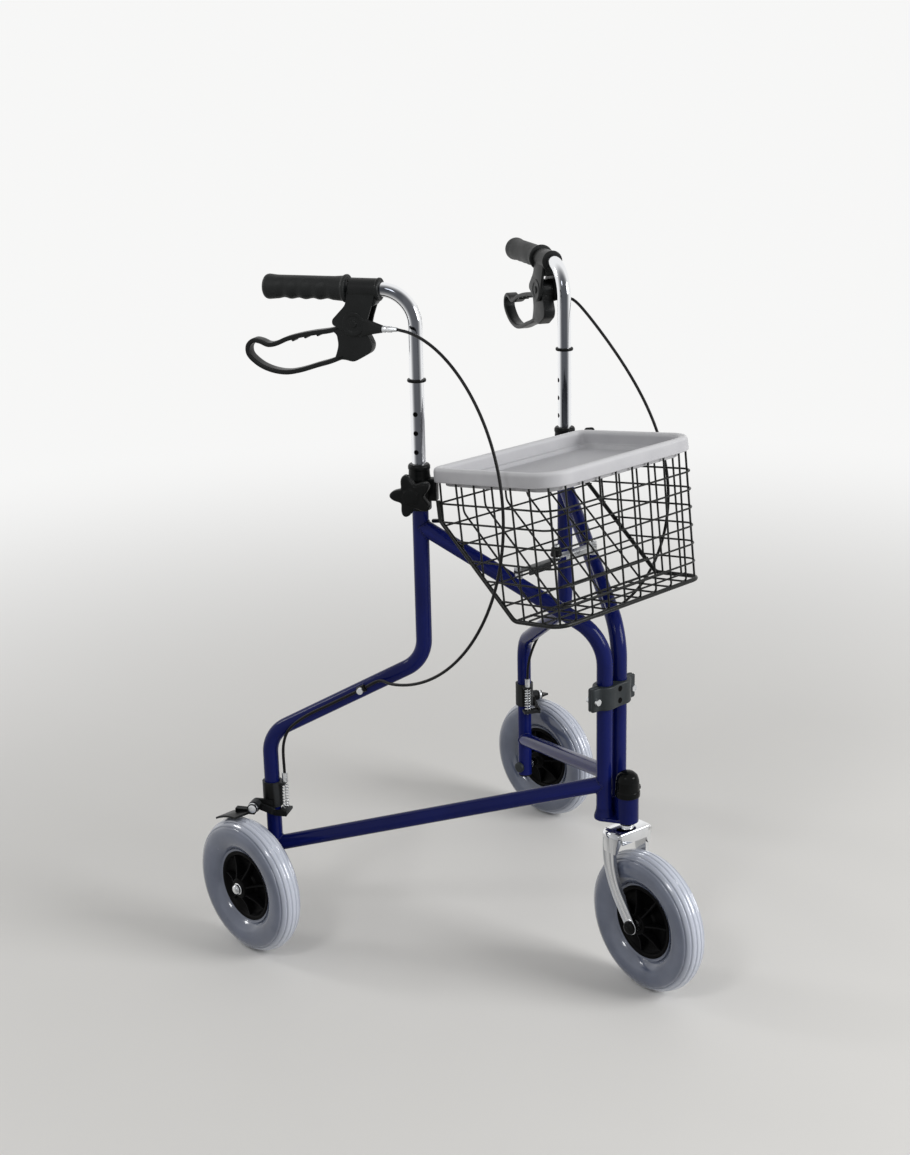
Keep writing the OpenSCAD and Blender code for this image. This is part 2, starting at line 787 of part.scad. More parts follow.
module brake_spring() {
  turns = 8;
  per = 8;
  low = tab_low + arm_t / 2 + seat_gap + spring_wire / 2;
  high = tab_high - tab_t - seat_gap - spring_wire / 2;
  pitch = (high - low) / turns;
  echo(spring_self_gap = pitch - spring_wire);
  pts = [
    for (i = [0:turns * per])
      [spring_d / 2 * cos(360 * i / per), cable_r + spring_d / 2 * sin(360 * i / per), low + pitch * i / per]
  ];
  lead = pitch / (PI * spring_d);
  dirs = [for (i = [0:turns * per]) unit([-sin(360 * i / per), cos(360 * i / per), lead])];
  sides = 6;
  last = turns * per;
  rings = [
    for (i = [0:last])
      for (k = [0:sides - 1])
        let (out = [cos(360 * i / per), sin(360 * i / per), 0])
        pts[i] + spring_wire / 2 * (cos(360 * k / sides) * out + sin(360 * k / sides) * cross(dirs[i], out))
  ];
  walls = [
    for (i = [0:last - 1])
      for (k = [0:sides - 1])
        [i * sides + k, (i + 1) * sides + k, (i + 1) * sides + (k + 1) % sides, i * sides + (k + 1) % sides]
  ];
  caps = [[for (k = [0:sides - 1]) k], [for (k = [sides - 1:-1:0]) last * sides + k]];
  polyhedron(points = rings, faces = concat(walls, caps), convexity = 10);
}

// brace bolt on its pad, clip screw and cable ferrule; separate solids
module fasteners(lift) {
  pad_d = 12;
  nut_d = 11.5;
  nut_h = 4;
  dome_h = 3;
  dome_in = 2;
  screw_d = 9;
  screw_in = 3.1;
  screw_end = 7;
  ferrule_wall = 1.5;
  nut_z = link_z + lift + link_t + 2 * body_gap;
  base_z = front_bend_z + brace_r * tan(diag_angle);
  difference() {
    translate([0, brace_r, base_z]) cylinder(h = link_z + lift - base_z, d = pad_d);
    bar([0, 0, front_bend_z], [0, upright_r, join_z], tube_d + 2 * seat_gap);
  }
  translate([0, brace_r, link_z + lift]) cylinder(h = nut_z - link_z - lift + more, d = link_bolt_d);
  translate([0, brace_r, nut_z]) cylinder(h = nut_h, d = nut_d, $fn = 6);
  translate([0, brace_r, nut_z + nut_h - more])
    cylinder(h = dome_h + more, d1 = nut_d - dome_in, d2 = link_bolt_d - dome_in);
  translate(clip_pt(clip_mid) + [cable_d / 2, 0, 0]) across(screw_in, screw_end, 0, 0, screw_d);
  translate([0, cable_r, tab_high + seat_gap])
    cylinder(h = ferrule_h - 2 * seat_gap, d = cable_d + 2 * ferrule_wall);
}

module rear_axle() {
  head_t = 6;
  head_d = 17;
  nut_t = 6;
  spacer_wall = 3;
  spacer_d = axle_d + 2 * spacer_wall;
  cap_d = 11;
  cap_t = 2;
  inner = -tube_r - seat_gap;
  end = wheel_out + hub_half + body_gap;
  across(inner - cap_t, end + cap_t, 0, 0, axle_d);
  across(inner - head_t, inner, 0, 0, head_d);
  across(tube_r + seat_gap, wheel_out - hub_half - body_gap, 0, 0, spacer_d);
  across(end, end + nut_t, 0, 0, head_d);
  across(end + nut_t, end + nut_t + cap_t, 0, 0, cap_d);
}

module tyre_ring() {
  bead_w = 30;
  mid_r = wheel_r - tread_r;
  belly_in = 1.5;
  belly_lift = 1;
  belly_r = tread_r - belly_in;
  groove_at = [-52, -30, -10, 10, 30, 52];
  rotate([0, 90, 0])
    difference() {
      union() {
        rotate_extrude() translate([mid_r, 0]) circle(r = tread_r);
        rotate_extrude() translate([rim_d / 2 + seat_gap, -bead_w / 2]) square([mid_r - rim_d / 2, bead_w]);
        rotate_extrude() translate([rim_d / 2 + belly_r + belly_lift, 0]) circle(r = belly_r);
      }
      for (a = groove_at)
        rotate_extrude()
          translate([mid_r + tread_r * cos(a), tread_r * sin(a)])
            circle(r = groove_r, $fn = 16);
    }
}

module rim_wheel() {
  ring_t = 5;
  ring_w = 32;
  web_t = 5;
  boss_wall = 4;
  boss_d = 2 * (bearing_r + boss_wall);
  rib_t = 2.4;
  rib_w = 24;
  rib_sink = 2;
  rib_in = boss_d / 2 - rib_sink;
  rib_out = rim_d / 2 - ring_t + rib_sink / 2;
  bore_play = 5;
  bore_d = axle_d + bore_play;
  difference() {
    union() {
      rotate([0, 90, 0])
        rotate_extrude()
          translate([rim_d / 2 - ring_t, -ring_w / 2])
            square([ring_t, ring_w]);
      across(-web_t / 2, web_t / 2, 0, 0, rim_d - ring_t);
      across(-hub_half, hub_half, 0, 0, boss_d);
      for (i = [0:rib_count - 1])
        rotate([360 * i / rib_count, 0, 0])
          translate([-rib_w / 2, -rib_t / 2, rib_in])
            cube([rib_w, rib_t, rib_out - rib_in]);
    }
    across(-hub_half - more, hub_half + more, 0, 0, bore_d);
    across(-hub_half - more, -hub_half + bearing_w, 0, 0, 2 * bearing_r);
    across(hub_half - bearing_w, hub_half + more, 0, 0, 2 * bearing_r);
  }
}

module bearings() {
  for (s = [-1, 1])
    translate([s * (hub_half - bearing_w / 2), 0, 0])
      difference() {
        across(-bearing_w / 2 + seat_gap, bearing_w / 2 - seat_gap, 0, 0, 2 * (bearing_r - fit_gap));
        across(-bearing_w, bearing_w, 0, 0, axle_d + 2 * fit_gap);
      }
}

module link_bar(lift) {
  span = post_x + brace_r * sin(open_angle);
  low = link_z + lift + body_gap;
  hole = link_bolt_d + 2 * fit_gap;
  difference() {
    union() {
      translate([0, brace_y - link_w / 2, low]) cube([span, link_w, link_t]);
      translate([0, brace_y, low]) cylinder(h = link_t, d = link_w);
      translate([span, brace_y, low]) cylinder(h = link_t, d = link_w);
    }
    translate([span, brace_y, low - more]) cylinder(h = link_t + 2 * more, d = hole);
  }
}

link_lift = link_t + body_gap;

// wires and rods have eight flats, which lie a little inside their diameter
wire_sides = 8;
flat_part = cos(180 / wire_sides);

module wire(p, q) {
  bar(p, q, wire_d, $fn = wire_sides);
}

module rod(p, q) {
  bar(p, q, rod_d, $fn = wire_sides);
}

front_cols = 9;
front_rows = 7;
side_step = 33;
slope_steps = 5;
edge = rod_d / 2 + seat_gap;
brace_y = post_y + brace_r * cos(open_angle);
// height on the sloped back where the brace knob comes through a mesh
brace_h = slope_h * (brace_y - basket_y) / (slope_l * cos(basket_tilt) + slope_h * sin(basket_tilt));
row_step = slope_h / slope_steps;

module basket_front() {
  color(black) {
    for (h = [0, basket_h])
      rod(basket_pt(-half_w(h), front_f(h), h), basket_pt(half_w(h), front_f(h), h));
    for (s = [-1, 1])
      rod(
        basket_pt(s * half_w(0), front_f(0), 0),
        basket_pt(s * half_w(basket_h), front_f(basket_h), basket_h));
    for (i = [1:front_cols - 1])
      wire(
        basket_pt(half_w(0) * (2 * i / front_cols - 1), front_f(0), 0),
        basket_pt(half_w(basket_h) * (2 * i / front_cols - 1), front_f(basket_h), basket_h));
    for (j = [1:front_rows - 1])
      let (h = basket_h * j / front_rows)
        wire(basket_pt(-half_w(h), front_f(h), h), basket_pt(half_w(h), front_f(h), h));
  }
}

module basket_side() {
  top_f = front_f(basket_h) - edge;
  hook_gap = 7;
  hook_r = upright_r - tube_r - hook_gap;
  hook_z = front_bend_z + hook_r * tan(diag_angle) + rest_lift(rod_d);
  rod(basket_pt(half_w(0), 0, 0), basket_pt(half_w(0), floor_l - edge, 0));
  rod(basket_pt(half_w(0), 0, 0), basket_pt(half_w(slope_h), -slope_l, slope_h));
  rod(basket_pt(half_w(slope_h), -slope_l, slope_h), basket_pt(half_w(basket_h), -slope_l, basket_h));
  rod(basket_pt(half_w(basket_h), -slope_l, basket_h), basket_pt(half_w(basket_h), top_f, basket_h));
  rod(basket_pt(half_w(slope_h), -slope_l, slope_h), side_pt(0, hook_r, hook_z));
  for (f = [floor_l - side_step:-side_step:-slope_l + side_step / 2])
    let (low = f < 0 ? -f * slope_h / slope_l : 0)
      wire(basket_pt(half_w(low), f, low), basket_pt(half_w(basket_h), f, basket_h));
  for (j = [1:front_rows - 1])
    let (h = basket_h * j / front_rows)
      wire(basket_pt(half_w(h), back_f(h), h), basket_pt(half_w(h), front_f(h) - edge, h));
}

// wires of the sloped back lie on the inner side of the edge rods
back_cols = 7;
back_in = flat_part * (rod_d + wire_d) / 2 - seat_gap;
back_in_f = back_in * slope_h / norm([slope_l, slope_h]);
back_in_h = back_in * slope_l / norm([slope_l, slope_h]);

module basket_back() {
  color(black) {
    rod(basket_pt(-half_w(0) + edge, 0, 0), basket_pt(half_w(0) - edge, 0, 0));
    rod(
      basket_pt(-half_w(basket_h) + edge, -slope_l, basket_h),
      basket_pt(half_w(basket_h) - edge, -slope_l, basket_h));
    for (i = [1:back_cols - 1])
      let (x = half_w(slope_h) * (2 * i / back_cols - 1)) {
        wire(basket_pt(x, back_in_f, back_in_h), basket_pt(x, back_in_f - slope_l, back_in_h + slope_h));
        wire(
          basket_pt(x, back_in_f - slope_l, back_in_h + slope_h),
          basket_pt(x, back_in_f - slope_l, basket_h));
      }
    for (j = [-2:2])
      let (h = brace_h + (j + 0.5) * row_step) {
        f = back_f(h) + back_in_f;
        wire(basket_pt(-half_w(h) + edge, f, h + back_in_h), basket_pt(half_w(h) - edge, f, h + back_in_h));
      }
    let (h = (slope_h + basket_h) / 2) {
      f = back_f(h) + back_in_f;
      wire(basket_pt(-half_w(h) + edge, f, h), basket_pt(half_w(h) - edge, f, h));
    }
  }
}

module basket_floor() {
  color(black) {
    for (i = [1:front_cols - 1])
      let (x = half_w(0) * (2 * i / front_cols - 1))
        wire(basket_pt(x, edge, 0), basket_pt(x, floor_l - edge, 0));
    for (j = [1:2])
      wire(basket_pt(-half_w(0) + edge, floor_l * j / 3, 0), basket_pt(half_w(0) - edge, floor_l * j / 3, 0));
  }
}

module round_plate(w, l, r, h) {
  translate([-w / 2 + r, -l / 2, 0]) cube([w - 2 * r, l, h]);
  translate([-w / 2, -l / 2 + r, 0]) cube([w, l - 2 * r, h]);
  for (x = [-1, 1])
    for (y = [-1, 1])
      translate([x * (w / 2 - r), y * (l / 2 - r), 0]) cylinder(h = h, r = r);
}

module tray() {
  wall = 7;
  ledge = 10;
  ledge_h = 5;
  low = basket_h + rod_d / 2 + body_gap;
  front = front_f(basket_h) + tray_over_front;
  back = slope_l + tray_over_back;
  width = 2 * (basket_top + tray_over);
  long = front + back;
  color(pale)
    in_basket()
      translate([0, (back - front) / 2, low])
        difference() {
          round_plate(width, long, tray_r, tray_h);
          translate([0, 0, tray_h - tray_deep + ledge_h])
            round_plate(width - 2 * wall, long - 2 * wall, tray_r - wall, tray_h);
          translate([0, 0, tray_h - tray_deep])
            round_plate(width - 2 * wall - 2 * ledge, long - 2 * wall - 2 * ledge, tray_r - wall, tray_h);
        }
}

module brace_knob() {
  base = link_z + link_lift + body_gap + link_t + seat_gap;
  body_h = 13;
  foot_d = 16;
  neck_d = 13;
  tip_h = 4;
  tip_d = 10;
  color(black)
    translate([0, brace_y, base]) {
      cylinder(h = body_h, d1 = foot_d, d2 = neck_d);
      translate([0, 0, body_h]) cylinder(h = tip_h, d = tip_d, $fn = 6);
    }
}

cap_lift = 38;
cap_h = 36;
cap_lap = 20;
cap_z = housing_z + cap_lift;
housing_top = cap_z + cap_lap;
bush_wall = 5;
bush_r = stem_pin_d / 2 + bush_wall;
stem_nut_h = 7;

module head_housing() {
  ear_d = 28;
  web_t = 5;
  web_h = 28;
  web_in = 2;
  web_more = 8;
  web_l = head_reach - housing_d / 2 + web_more;
  spigot_h = 26;
  edge_in = 1;
  color(blue)
    difference() {
      union() {
        translate([0, head_y, housing_z]) cylinder(h = housing_top - housing_z, d = housing_d);
        for (s = [-1, 1]) {
          translate([s * post_x, post_y, housing_z]) cylinder(h = plate_t, d = ear_d);
          translate([s * post_x, post_y, housing_z]) cylinder(h = plate_t + spigot_h, r = tube_in - fit_gap);
        }
        translate([-post_x, post_y - ear_d / 2, housing_z]) cube([post_pitch, ear_d, plate_t]);
        translate([0, 0, housing_z])
          linear_extrude(plate_t)
            polygon([
              [-post_x - ear_d / 3, post_y - ear_d / 3], [post_x + ear_d / 3, post_y - ear_d / 3],
              [housing_d / 2 - edge_in, head_y], [-housing_d / 2 + edge_in, head_y]]);
        translate([-web_t / 2, head_y + housing_d / 2 - web_in, housing_z]) cube([web_t, web_l, web_h]);
      }
      translate([0, head_y, housing_z - more]) cylinder(h = housing_top, r = bush_r + fit_gap);
    }
}

module head_cap() {
  skirt_out = 3;
  skirt_d = housing_d + skirt_out;
  dome_h = 6;
  dome_in = 8;
  top_h = 4;
  top_in = 20;
  lap_gap = 2;
  nut_room = 3;
  wall = 3;
  skirt_h = cap_h - dome_h - top_h;
  color(black)
    translate([0, head_y, cap_z])
      difference() {
        union() {
          cylinder(h = skirt_h, d = skirt_d);
          translate([0, 0, skirt_h]) cylinder(h = dome_h, d1 = skirt_d, d2 = skirt_d - dome_in);
          translate([0, 0, skirt_h + dome_h])
            cylinder(h = top_h, d1 = skirt_d - dome_in, d2 = skirt_d - top_in);
        }
        translate([0, 0, -more]) cylinder(h = cap_lap + lap_gap + more, d = housing_d + 2 * seat_gap);
        translate([0, 0, cap_lap]) cylinder(h = body_gap + stem_nut_h + nut_room, d = housing_d - 2 * wall);
      }
}

module head_bushes() {
  bush_h = 14;
  color(dark)
    for (z = [housing_z, housing_top - bush_h])
      translate([0, head_y, z])
        difference() {
          cylinder(h = bush_h, r = bush_r);
          translate([0, 0, -1]) cylinder(h = bush_h + 2, d = stem_pin_d + 2 * fit_gap);
        }
}

block_reach = 22;
block_bolt_x = post_x + block_reach;
block_bolt_d = 5;
block_ear_t = 11;

module hinge_block(s) {
  wrap_t = 4.5;
  wrap_d = tube_d + 2 * wrap_t;
  ear_d = 17;
  band_in = 10;
  split = 0.3;
  big = 100;
  bolt_play = 0.2;
  socket_d = 8;
  socket_deep = 5;
  socket_part = 0.22;
  socket_up = socket_part * block_h;
  mid_z = block_z + block_h / 2;
  color(dark)
    difference() {
      union() {
        for (x = [-1, 1]) {
          translate([x * post_x, post_y, block_z]) cylinder(h = block_h, d = wrap_d);
          translate([x * block_bolt_x, post_y - block_ear_t / 2, mid_z])
            rotate([-90, 0, 0])
              cylinder(h = block_ear_t, d = ear_d);
        }
        translate([-block_bolt_x, post_y - block_ear_t / 2, block_z + band_in])
          cube([2 * block_bolt_x, block_ear_t, block_h - 2 * band_in]);
        translate([-post_x, post_y - wrap_d / 2, block_z]) cube([post_pitch, wrap_d, block_h]);
      }
      for (x = [-1, 1]) {
        translate([x * post_x, post_y, block_z - more])
          cylinder(h = block_h + 2 * more, r = tube_r + fit_gap);
        translate([x * block_bolt_x, post_y - big / 2, mid_z])
          rotate([-90, 0, 0])
            cylinder(h = big, d = block_bolt_d + bolt_play);
      }
      for (z = [-socket_up, socket_up])
        translate([0, post_y + s * wrap_d / 2, mid_z + z])
          rotate([90, 0, 0])
            cylinder(h = 2 * socket_deep, d = socket_d, center = true);
      translate([-big / 2, s > 0 ? post_y - big + split : post_y - split, block_z - more])
        cube([big, big, block_h + 2 * more]);
    }
}

module hinge_block_front() {
  hinge_block(-1);
}

module hinge_block_rear() {
  hinge_block(1);
}

module hinge_block_bolts() {
  half = block_ear_t / 2;
  head_d = 9;
  head_h = 4;
  out = 3;
  color(zinc)
    for (x = [-1, 1])
      translate([x * block_bolt_x, post_y, block_z + block_h / 2])
        rotate([-90, 0, 0]) {
          translate([0, 0, -half - out]) cylinder(h = 2 * (half + out), d = block_bolt_d);
          translate([0, 0, -half - head_h]) cylinder(h = head_h - seat_gap, d = head_d);
          translate([0, 0, half + seat_gap]) cylinder(h = head_h, d = head_d, $fn = 6);
        }
}

leg_gap = 5;
leg_in = tread_r + leg_gap;
leg_out = leg_in + leg_t;
crown_t = 5;
axle_head_d = 16;
axle_head_t = 5;

module caster_fork() {
  skirt_t = 3;
  skirt_h = 15;
  knee_part = 0.89;
  knee_z = knee_part * wheel_d;
  set_back = 3;
  leg_top = crown_z - leg_w / 2;
  color(chrome)
    in_caster()
      difference() {
        union() {
          translate([-leg_out, -crown_l / 2, crown_z - crown_t]) cube([2 * leg_out, crown_l, crown_t]);
          for (y = [-crown_l / 2, crown_l / 2 - skirt_t])
            translate([-leg_out, y, crown_z - skirt_h]) cube([2 * leg_out, skirt_t, skirt_h]);
          for (n = [-leg_out, leg_in]) {
            flat_bar([set_back, leg_top], [set_back, knee_z], leg_w, n, n + leg_t);
            flat_bar([set_back, knee_z], [-trail, wheel_r], leg_w, n, n + leg_t);
          }
        }
        translate([0, 0, crown_z - crown_t - more])
          cylinder(h = crown_t + 2 * more, r = stem_pin_d / 2 + seat_gap);
        across(-leg_out - more, leg_out + more, -trail, wheel_r, axle_d + 2 * seat_gap);
      }
}

module caster_stem() {
  head_wall = 4;
  head_d = stem_pin_d + 2 * head_wall;
  head_h = 5;
  collar_in = 2;
  washer_h = 4;
  end_over = 6;
  low = crown_z - crown_t - seat_gap;
  color(zinc)
    in_caster() {
      translate([0, 0, low - head_h]) cylinder(h = head_h, d = head_d);
      translate([0, 0, low - more]) cylinder(h = housing_top + end_over - low, d = stem_pin_d);
      translate([0, 0, crown_z + seat_gap]) cylinder(h = washer_h, d = head_d - collar_in);
      translate([0, 0, housing_top + body_gap]) cylinder(h = stem_nut_h, d = head_d, $fn = 6);
    }
}

module front_axle() {
  spacer_wall = 3;
  head_n = leg_out + axle_head_t;
  color(zinc)
    in_caster() {
      across(-head_n, head_n, -trail, wheel_r, axle_d);
      for (s = [0, 1])
        mirror([s, 0, 0]) {
          across(leg_out + seat_gap, head_n, -trail, wheel_r, axle_head_d);
          across(hub_half + body_gap, leg_in - seat_gap, -trail, wheel_r, axle_d + 2 * spacer_wall);
        }
    }
}

module front_axle_caps() {
  cap_d = 21;
  tip_l = 3;
  tip_in = 5;
  long = 9;
  color(black)
    in_caster()
      for (s = [0, 1])
        mirror([s, 0, 0])
          difference() {
            union() {
              across(leg_out + seat_gap, leg_out + long - tip_l, -trail, wheel_r, cap_d);
              across(leg_out + long - tip_l, leg_out + long, -trail, wheel_r, cap_d - tip_in);
            }
            across(
              leg_out, leg_out + axle_head_t + 2 * seat_gap, -trail, wheel_r, axle_head_d + 2 * seat_gap);
          }
}

module in_front_wheel() {
  in_caster() translate([0, -trail, wheel_r]) children();
}

module front_tyre() {
  color(rubber) in_front_wheel() tyre_ring();
}

module front_rim() {
  color(black) in_front_wheel() rim_wheel();
}

module front_bearings() {
  color(zinc) in_front_wheel() bearings();
}

module left_rear_tube() {
  color(blue) in_side(1) rear_tube();
}

module left_front_tube() {
  color(blue) in_side(1) front_tube();
}

module left_lower_tube() {
  color(blue) in_side(1) lower_tube();
}

module left_clamp() {
  color(black) in_side(1) clamp();
}

module left_knob() {
  color(black) in_side(1) knob();
}

module left_brake_carrier() {
  color(black) in_side(1) brake_carrier();
}

module left_brake_spring() {
  color(zinc) in_side(1) brake_spring();
}

module left_brake_arm() {
  color(black) in_side(1) brake_arm();
}

module left_axle() {
  color(zinc) in_wheel(1) rear_axle();
}

module left_tyre() {
  color(rubber) in_wheel(1) translate([wheel_out, 0, 0]) tyre_ring();
}

module left_rim() {
  color(black) in_wheel(1) translate([wheel_out, 0, 0]) rim_wheel();
}

module left_bearings() {
  color(zinc) in_wheel(1) translate([wheel_out, 0, 0]) bearings();
}

module left_stem() {
  color(chrome) in_handle(1) stem();
}

module left_grip() {
  color(black) in_handle(1) grip();
}

module left_lever_bracket() {
  color(black) in_handle(1) lever_bracket();
}

module left_adjuster() {
  color(zinc) in_handle(1) adjuster();
}

module left_lever() {
  color(black) in_handle(1) lever();
}

module left_fasteners() {
  color(zinc) in_side(1) fasteners(link_lift);
}

module left_link() {
  color(zinc) in_world(1) link_bar(link_lift);
}

module left_cable() {
  skew = 0.65;
  color(black) {
    in_world(1) cable(left_bow, skew);
    in_side(1) clip();
  }
}

module basket_left() {
  color(black) in_world(1) basket_side();
}

module right_rear_tube() {
  color(blue) in_side(-1) rear_tube();
}

module right_front_tube() {
  color(blue) in_side(-1) front_tube();
}

module right_lower_tube() {
  color(blue) in_side(-1) lower_tube();
}

module right_clamp() {
  color(black) in_side(-1) clamp();
}

module right_knob() {
  color(black) in_side(-1) knob();
}

module right_brake_carrier() {
  color(black) in_side(-1) brake_carrier();
}

module right_brake_spring() {
  color(zinc) in_side(-1) brake_spring();
}

module right_brake_arm() {
  color(black) in_side(-1) brake_arm();
}

module right_axle() {
  color(zinc) in_wheel(-1) rear_axle();
}

module right_tyre() {
  color(rubber) in_wheel(-1) translate([wheel_out, 0, 0]) tyre_ring();
}

module right_rim() {
  color(black) in_wheel(-1) translate([wheel_out, 0, 0]) rim_wheel();
}

module right_bearings() {
  color(zinc) in_wheel(-1) translate([wheel_out, 0, 0]) bearings();
}

module right_stem() {
  color(chrome) in_handle(-1) stem();
}

module right_grip() {
  color(black) in_handle(-1) grip();
}

module right_lever_bracket() {
  color(black) in_handle(-1) lever_bracket();
}

module right_adjuster() {
  color(zinc) in_handle(-1) adjuster();
}

module right_lever() {
  color(black) in_handle(-1) lever();
}

module right_fasteners() {
  color(zinc) in_side(-1) fasteners(0);
}

module right_link() {
  color(dark) in_world(-1) link_bar(0);
}

module right_cable() {
  skew = 0.1;
  color(black) {
    in_world(-1) cable(right_bow, skew);
    in_side(-1) clip();
  }
}

module basket_right() {
  color(black) in_world(-1) basket_side();
}

head_housing();
head_cap();
head_bushes();
hinge_block_front();
hinge_block_rear();
hinge_block_bolts();
caster_fork();
caster_stem();
front_axle();
front_axle_caps();
front_tyre();
front_rim();
front_bearings();
left_rear_tube();
left_front_tube();
left_lower_tube();
left_clamp();
left_knob();
left_cable();
left_brake_carrier();
left_brake_spring();
left_brake_arm();
left_fasteners();
left_axle();
left_tyre();
left_rim();
left_bearings();
left_stem();
left_grip();
left_lever_bracket();
left_adjuster();
left_lever();
left_link();
right_rear_tube();
right_front_tube();
right_lower_tube();
right_clamp();
right_knob();
right_cable();
right_brake_carrier();
right_brake_spring();
right_brake_arm();
right_fasteners();
right_axle();
right_tyre();
right_rim();
right_bearings();
right_stem();
right_grip();
right_lever_bracket();
right_adjuster();
right_lever();
right_link();
brace_knob();
basket_front();
basket_left();
basket_right();
basket_back();
basket_floor();
tray();
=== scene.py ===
import bmesh
import bpy
import numpy as np
from mathutils import Matrix


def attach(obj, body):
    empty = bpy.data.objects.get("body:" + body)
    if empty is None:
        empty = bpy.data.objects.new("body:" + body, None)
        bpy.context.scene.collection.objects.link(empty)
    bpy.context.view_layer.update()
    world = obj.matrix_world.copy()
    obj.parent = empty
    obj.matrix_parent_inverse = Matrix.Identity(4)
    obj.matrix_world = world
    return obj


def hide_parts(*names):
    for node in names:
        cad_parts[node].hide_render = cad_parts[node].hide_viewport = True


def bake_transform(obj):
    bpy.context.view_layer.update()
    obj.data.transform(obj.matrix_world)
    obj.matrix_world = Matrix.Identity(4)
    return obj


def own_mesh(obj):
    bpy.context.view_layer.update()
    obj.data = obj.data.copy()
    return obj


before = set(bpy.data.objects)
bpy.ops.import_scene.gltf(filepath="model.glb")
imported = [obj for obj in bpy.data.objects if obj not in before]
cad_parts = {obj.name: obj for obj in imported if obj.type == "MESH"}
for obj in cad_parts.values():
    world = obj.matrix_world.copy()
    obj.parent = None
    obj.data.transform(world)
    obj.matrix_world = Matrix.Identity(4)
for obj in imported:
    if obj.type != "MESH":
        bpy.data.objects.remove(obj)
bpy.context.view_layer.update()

# Viewpoint, room and light
# The walking frame stands on a plain pale floor under soft lamps. The camera is a
# 56 mm lens a little above handle height, in front of the user's right-hand wheel.
CAMERA_AT = np.array((-1.71318, -1.64360, 1.29732))
azimuth, elevation, roll = np.radians((-44.05, 17.65, -1.31))
look = np.array((-np.sin(azimuth) * np.cos(elevation), np.cos(azimuth) * np.cos(elevation), -np.sin(elevation)))
level = np.array((np.cos(azimuth), np.sin(azimuth), 0.0))
upright = np.cross(level, look)
across = level * np.cos(roll) + upright * np.sin(roll)
above = upright * np.cos(roll) - level * np.sin(roll)
scene = bpy.context.scene


def unit(v):
    """Vectors along the last axis, brought to length one."""
    return v / np.linalg.norm(v, axis=-1, keepdims=True)


def stand(made, axes, at):
    """Stands a camera or a lamp at a place in metres, with its right, up and back axes, and links it."""
    turn = np.eye(4)
    turn[:3] = np.stack((*axes, at), 1)
    made.matrix_world = Matrix(turn.tolist())
    scene.collection.objects.link(made)


camera = bpy.data.objects.new("camera", bpy.data.cameras.new("camera"))
camera.data.lens = 55.74
stand(camera, (across, above, -look), CAMERA_AT)
scene.camera = camera
scene.view_settings.view_transform = "Standard"


def preset(node, values):
    """Sets inputs of a node, given by name, and returns the node."""
    for name, value in values.items():
        node.inputs[name].default_value = value
    return node


BACKDROP, ROOM_LIGHT = (0.93, 0.93, 0.925, 1.0), 0.44
room = bpy.data.worlds.new("room")
room.use_nodes = True
air = preset(room.node_tree.nodes["Background"], {"Color": BACKDROP})


def worked(tree, kind, operation, values, give="Value"):
    """Output of a new maths node: its operation on values, each of them a node's output or a constant."""
    node = tree.nodes.new("ShaderNode" + kind)
    node.operation = operation
    for socket, value in zip(node.inputs, values):
        if isinstance(value, bpy.types.NodeSocket):
            tree.links.new(value, socket)
        else:
            socket.default_value = value
    return node.outputs[give]


def ranged(tree, value, low, high, to=(0.0, 1.0), smooth=False):
    """Output of a new Map Range node that carries value from low and high to the two values of to."""
    node = preset(tree.nodes.new("ShaderNodeMapRange"),
                  {"From Min": low, "From Max": high, "To Min": to[0], "To Max": to[1]})
    node.interpolation_type = "SMOOTHSTEP" if smooth else "LINEAR"
    tree.links.new(value, node.inputs["Value"])
    return node.outputs["Result"]


def toward(tree, share, colour):
    """Carries the base colour that the shader has so far towards colour, by share."""
    base = tree.nodes["Principled BSDF"].inputs["Base Color"]
    mixed = tree.nodes.new("ShaderNodeMix")
    mixed.data_type = "RGBA"
    mixed.inputs[7].default_value = (*colour, 1.0)
    tree.links.new(share, mixed.inputs[0])
    tree.links.new(base.links[0].from_socket, mixed.inputs[6])
    tree.links.new(mixed.outputs[2], base)


def seen_directly(tree):
    """One where a ray comes from the camera, a mirror or glass, so that the backdrop is white there and the room's
    own light on the walking frame stays plain."""
    ray = tree.nodes.new("ShaderNodeLightPath").outputs
    first = worked(tree, "Math", "MAXIMUM", (ray["Is Camera Ray"], ray["Is Glossy Ray"]))
    return worked(tree, "Math", "MAXIMUM", (first, ray["Is Transmission Ray"]))


glow = ranged(room.node_tree, seen_directly(room.node_tree), 0.0, 1.0, (ROOM_LIGHT, 1.0))
room.node_tree.links.new(glow, air.inputs["Strength"])
scene.world = room


def lamp(name, place, aim, size, watts):
    """Square soft lamp at place, turned so that its face looks at aim."""
    data = bpy.data.lights.new(name, "AREA")
    data.size, data.energy = size, watts
    away = unit(np.subtract(place, aim))
    side = unit(np.cross((0.0, 0.0, 1.0), away))
    stand(bpy.data.objects.new(name, data), (side, np.cross(away, side), away), place)


lamp("key_lamp", (1.3, -3.0, 1.9), (0.0, 0.0, 0.5), 1.6, 92)
lamp("fill_lamp", (-2.4, -0.7, 2.6), (0.0, 0.0, 0.45), 0.6, 15)
lamp("back_lamp", (-1.4, 2.6, 1.9), (0.0, 0.0, 0.4), 0.6, 13)

floor_mesh = bpy.data.meshes.new("floor")
FLOOR_HALF = 24
floor_mesh.from_pydata([(x * FLOOR_HALF, y * FLOOR_HALF, 0) for x, y in ((-1, -1), (1, -1), (1, 1), (-1, 1))], [],
                       [(0, 1, 2, 3)])
floor = bpy.data.objects.new("floor", floor_mesh)
scene.collection.objects.link(floor)


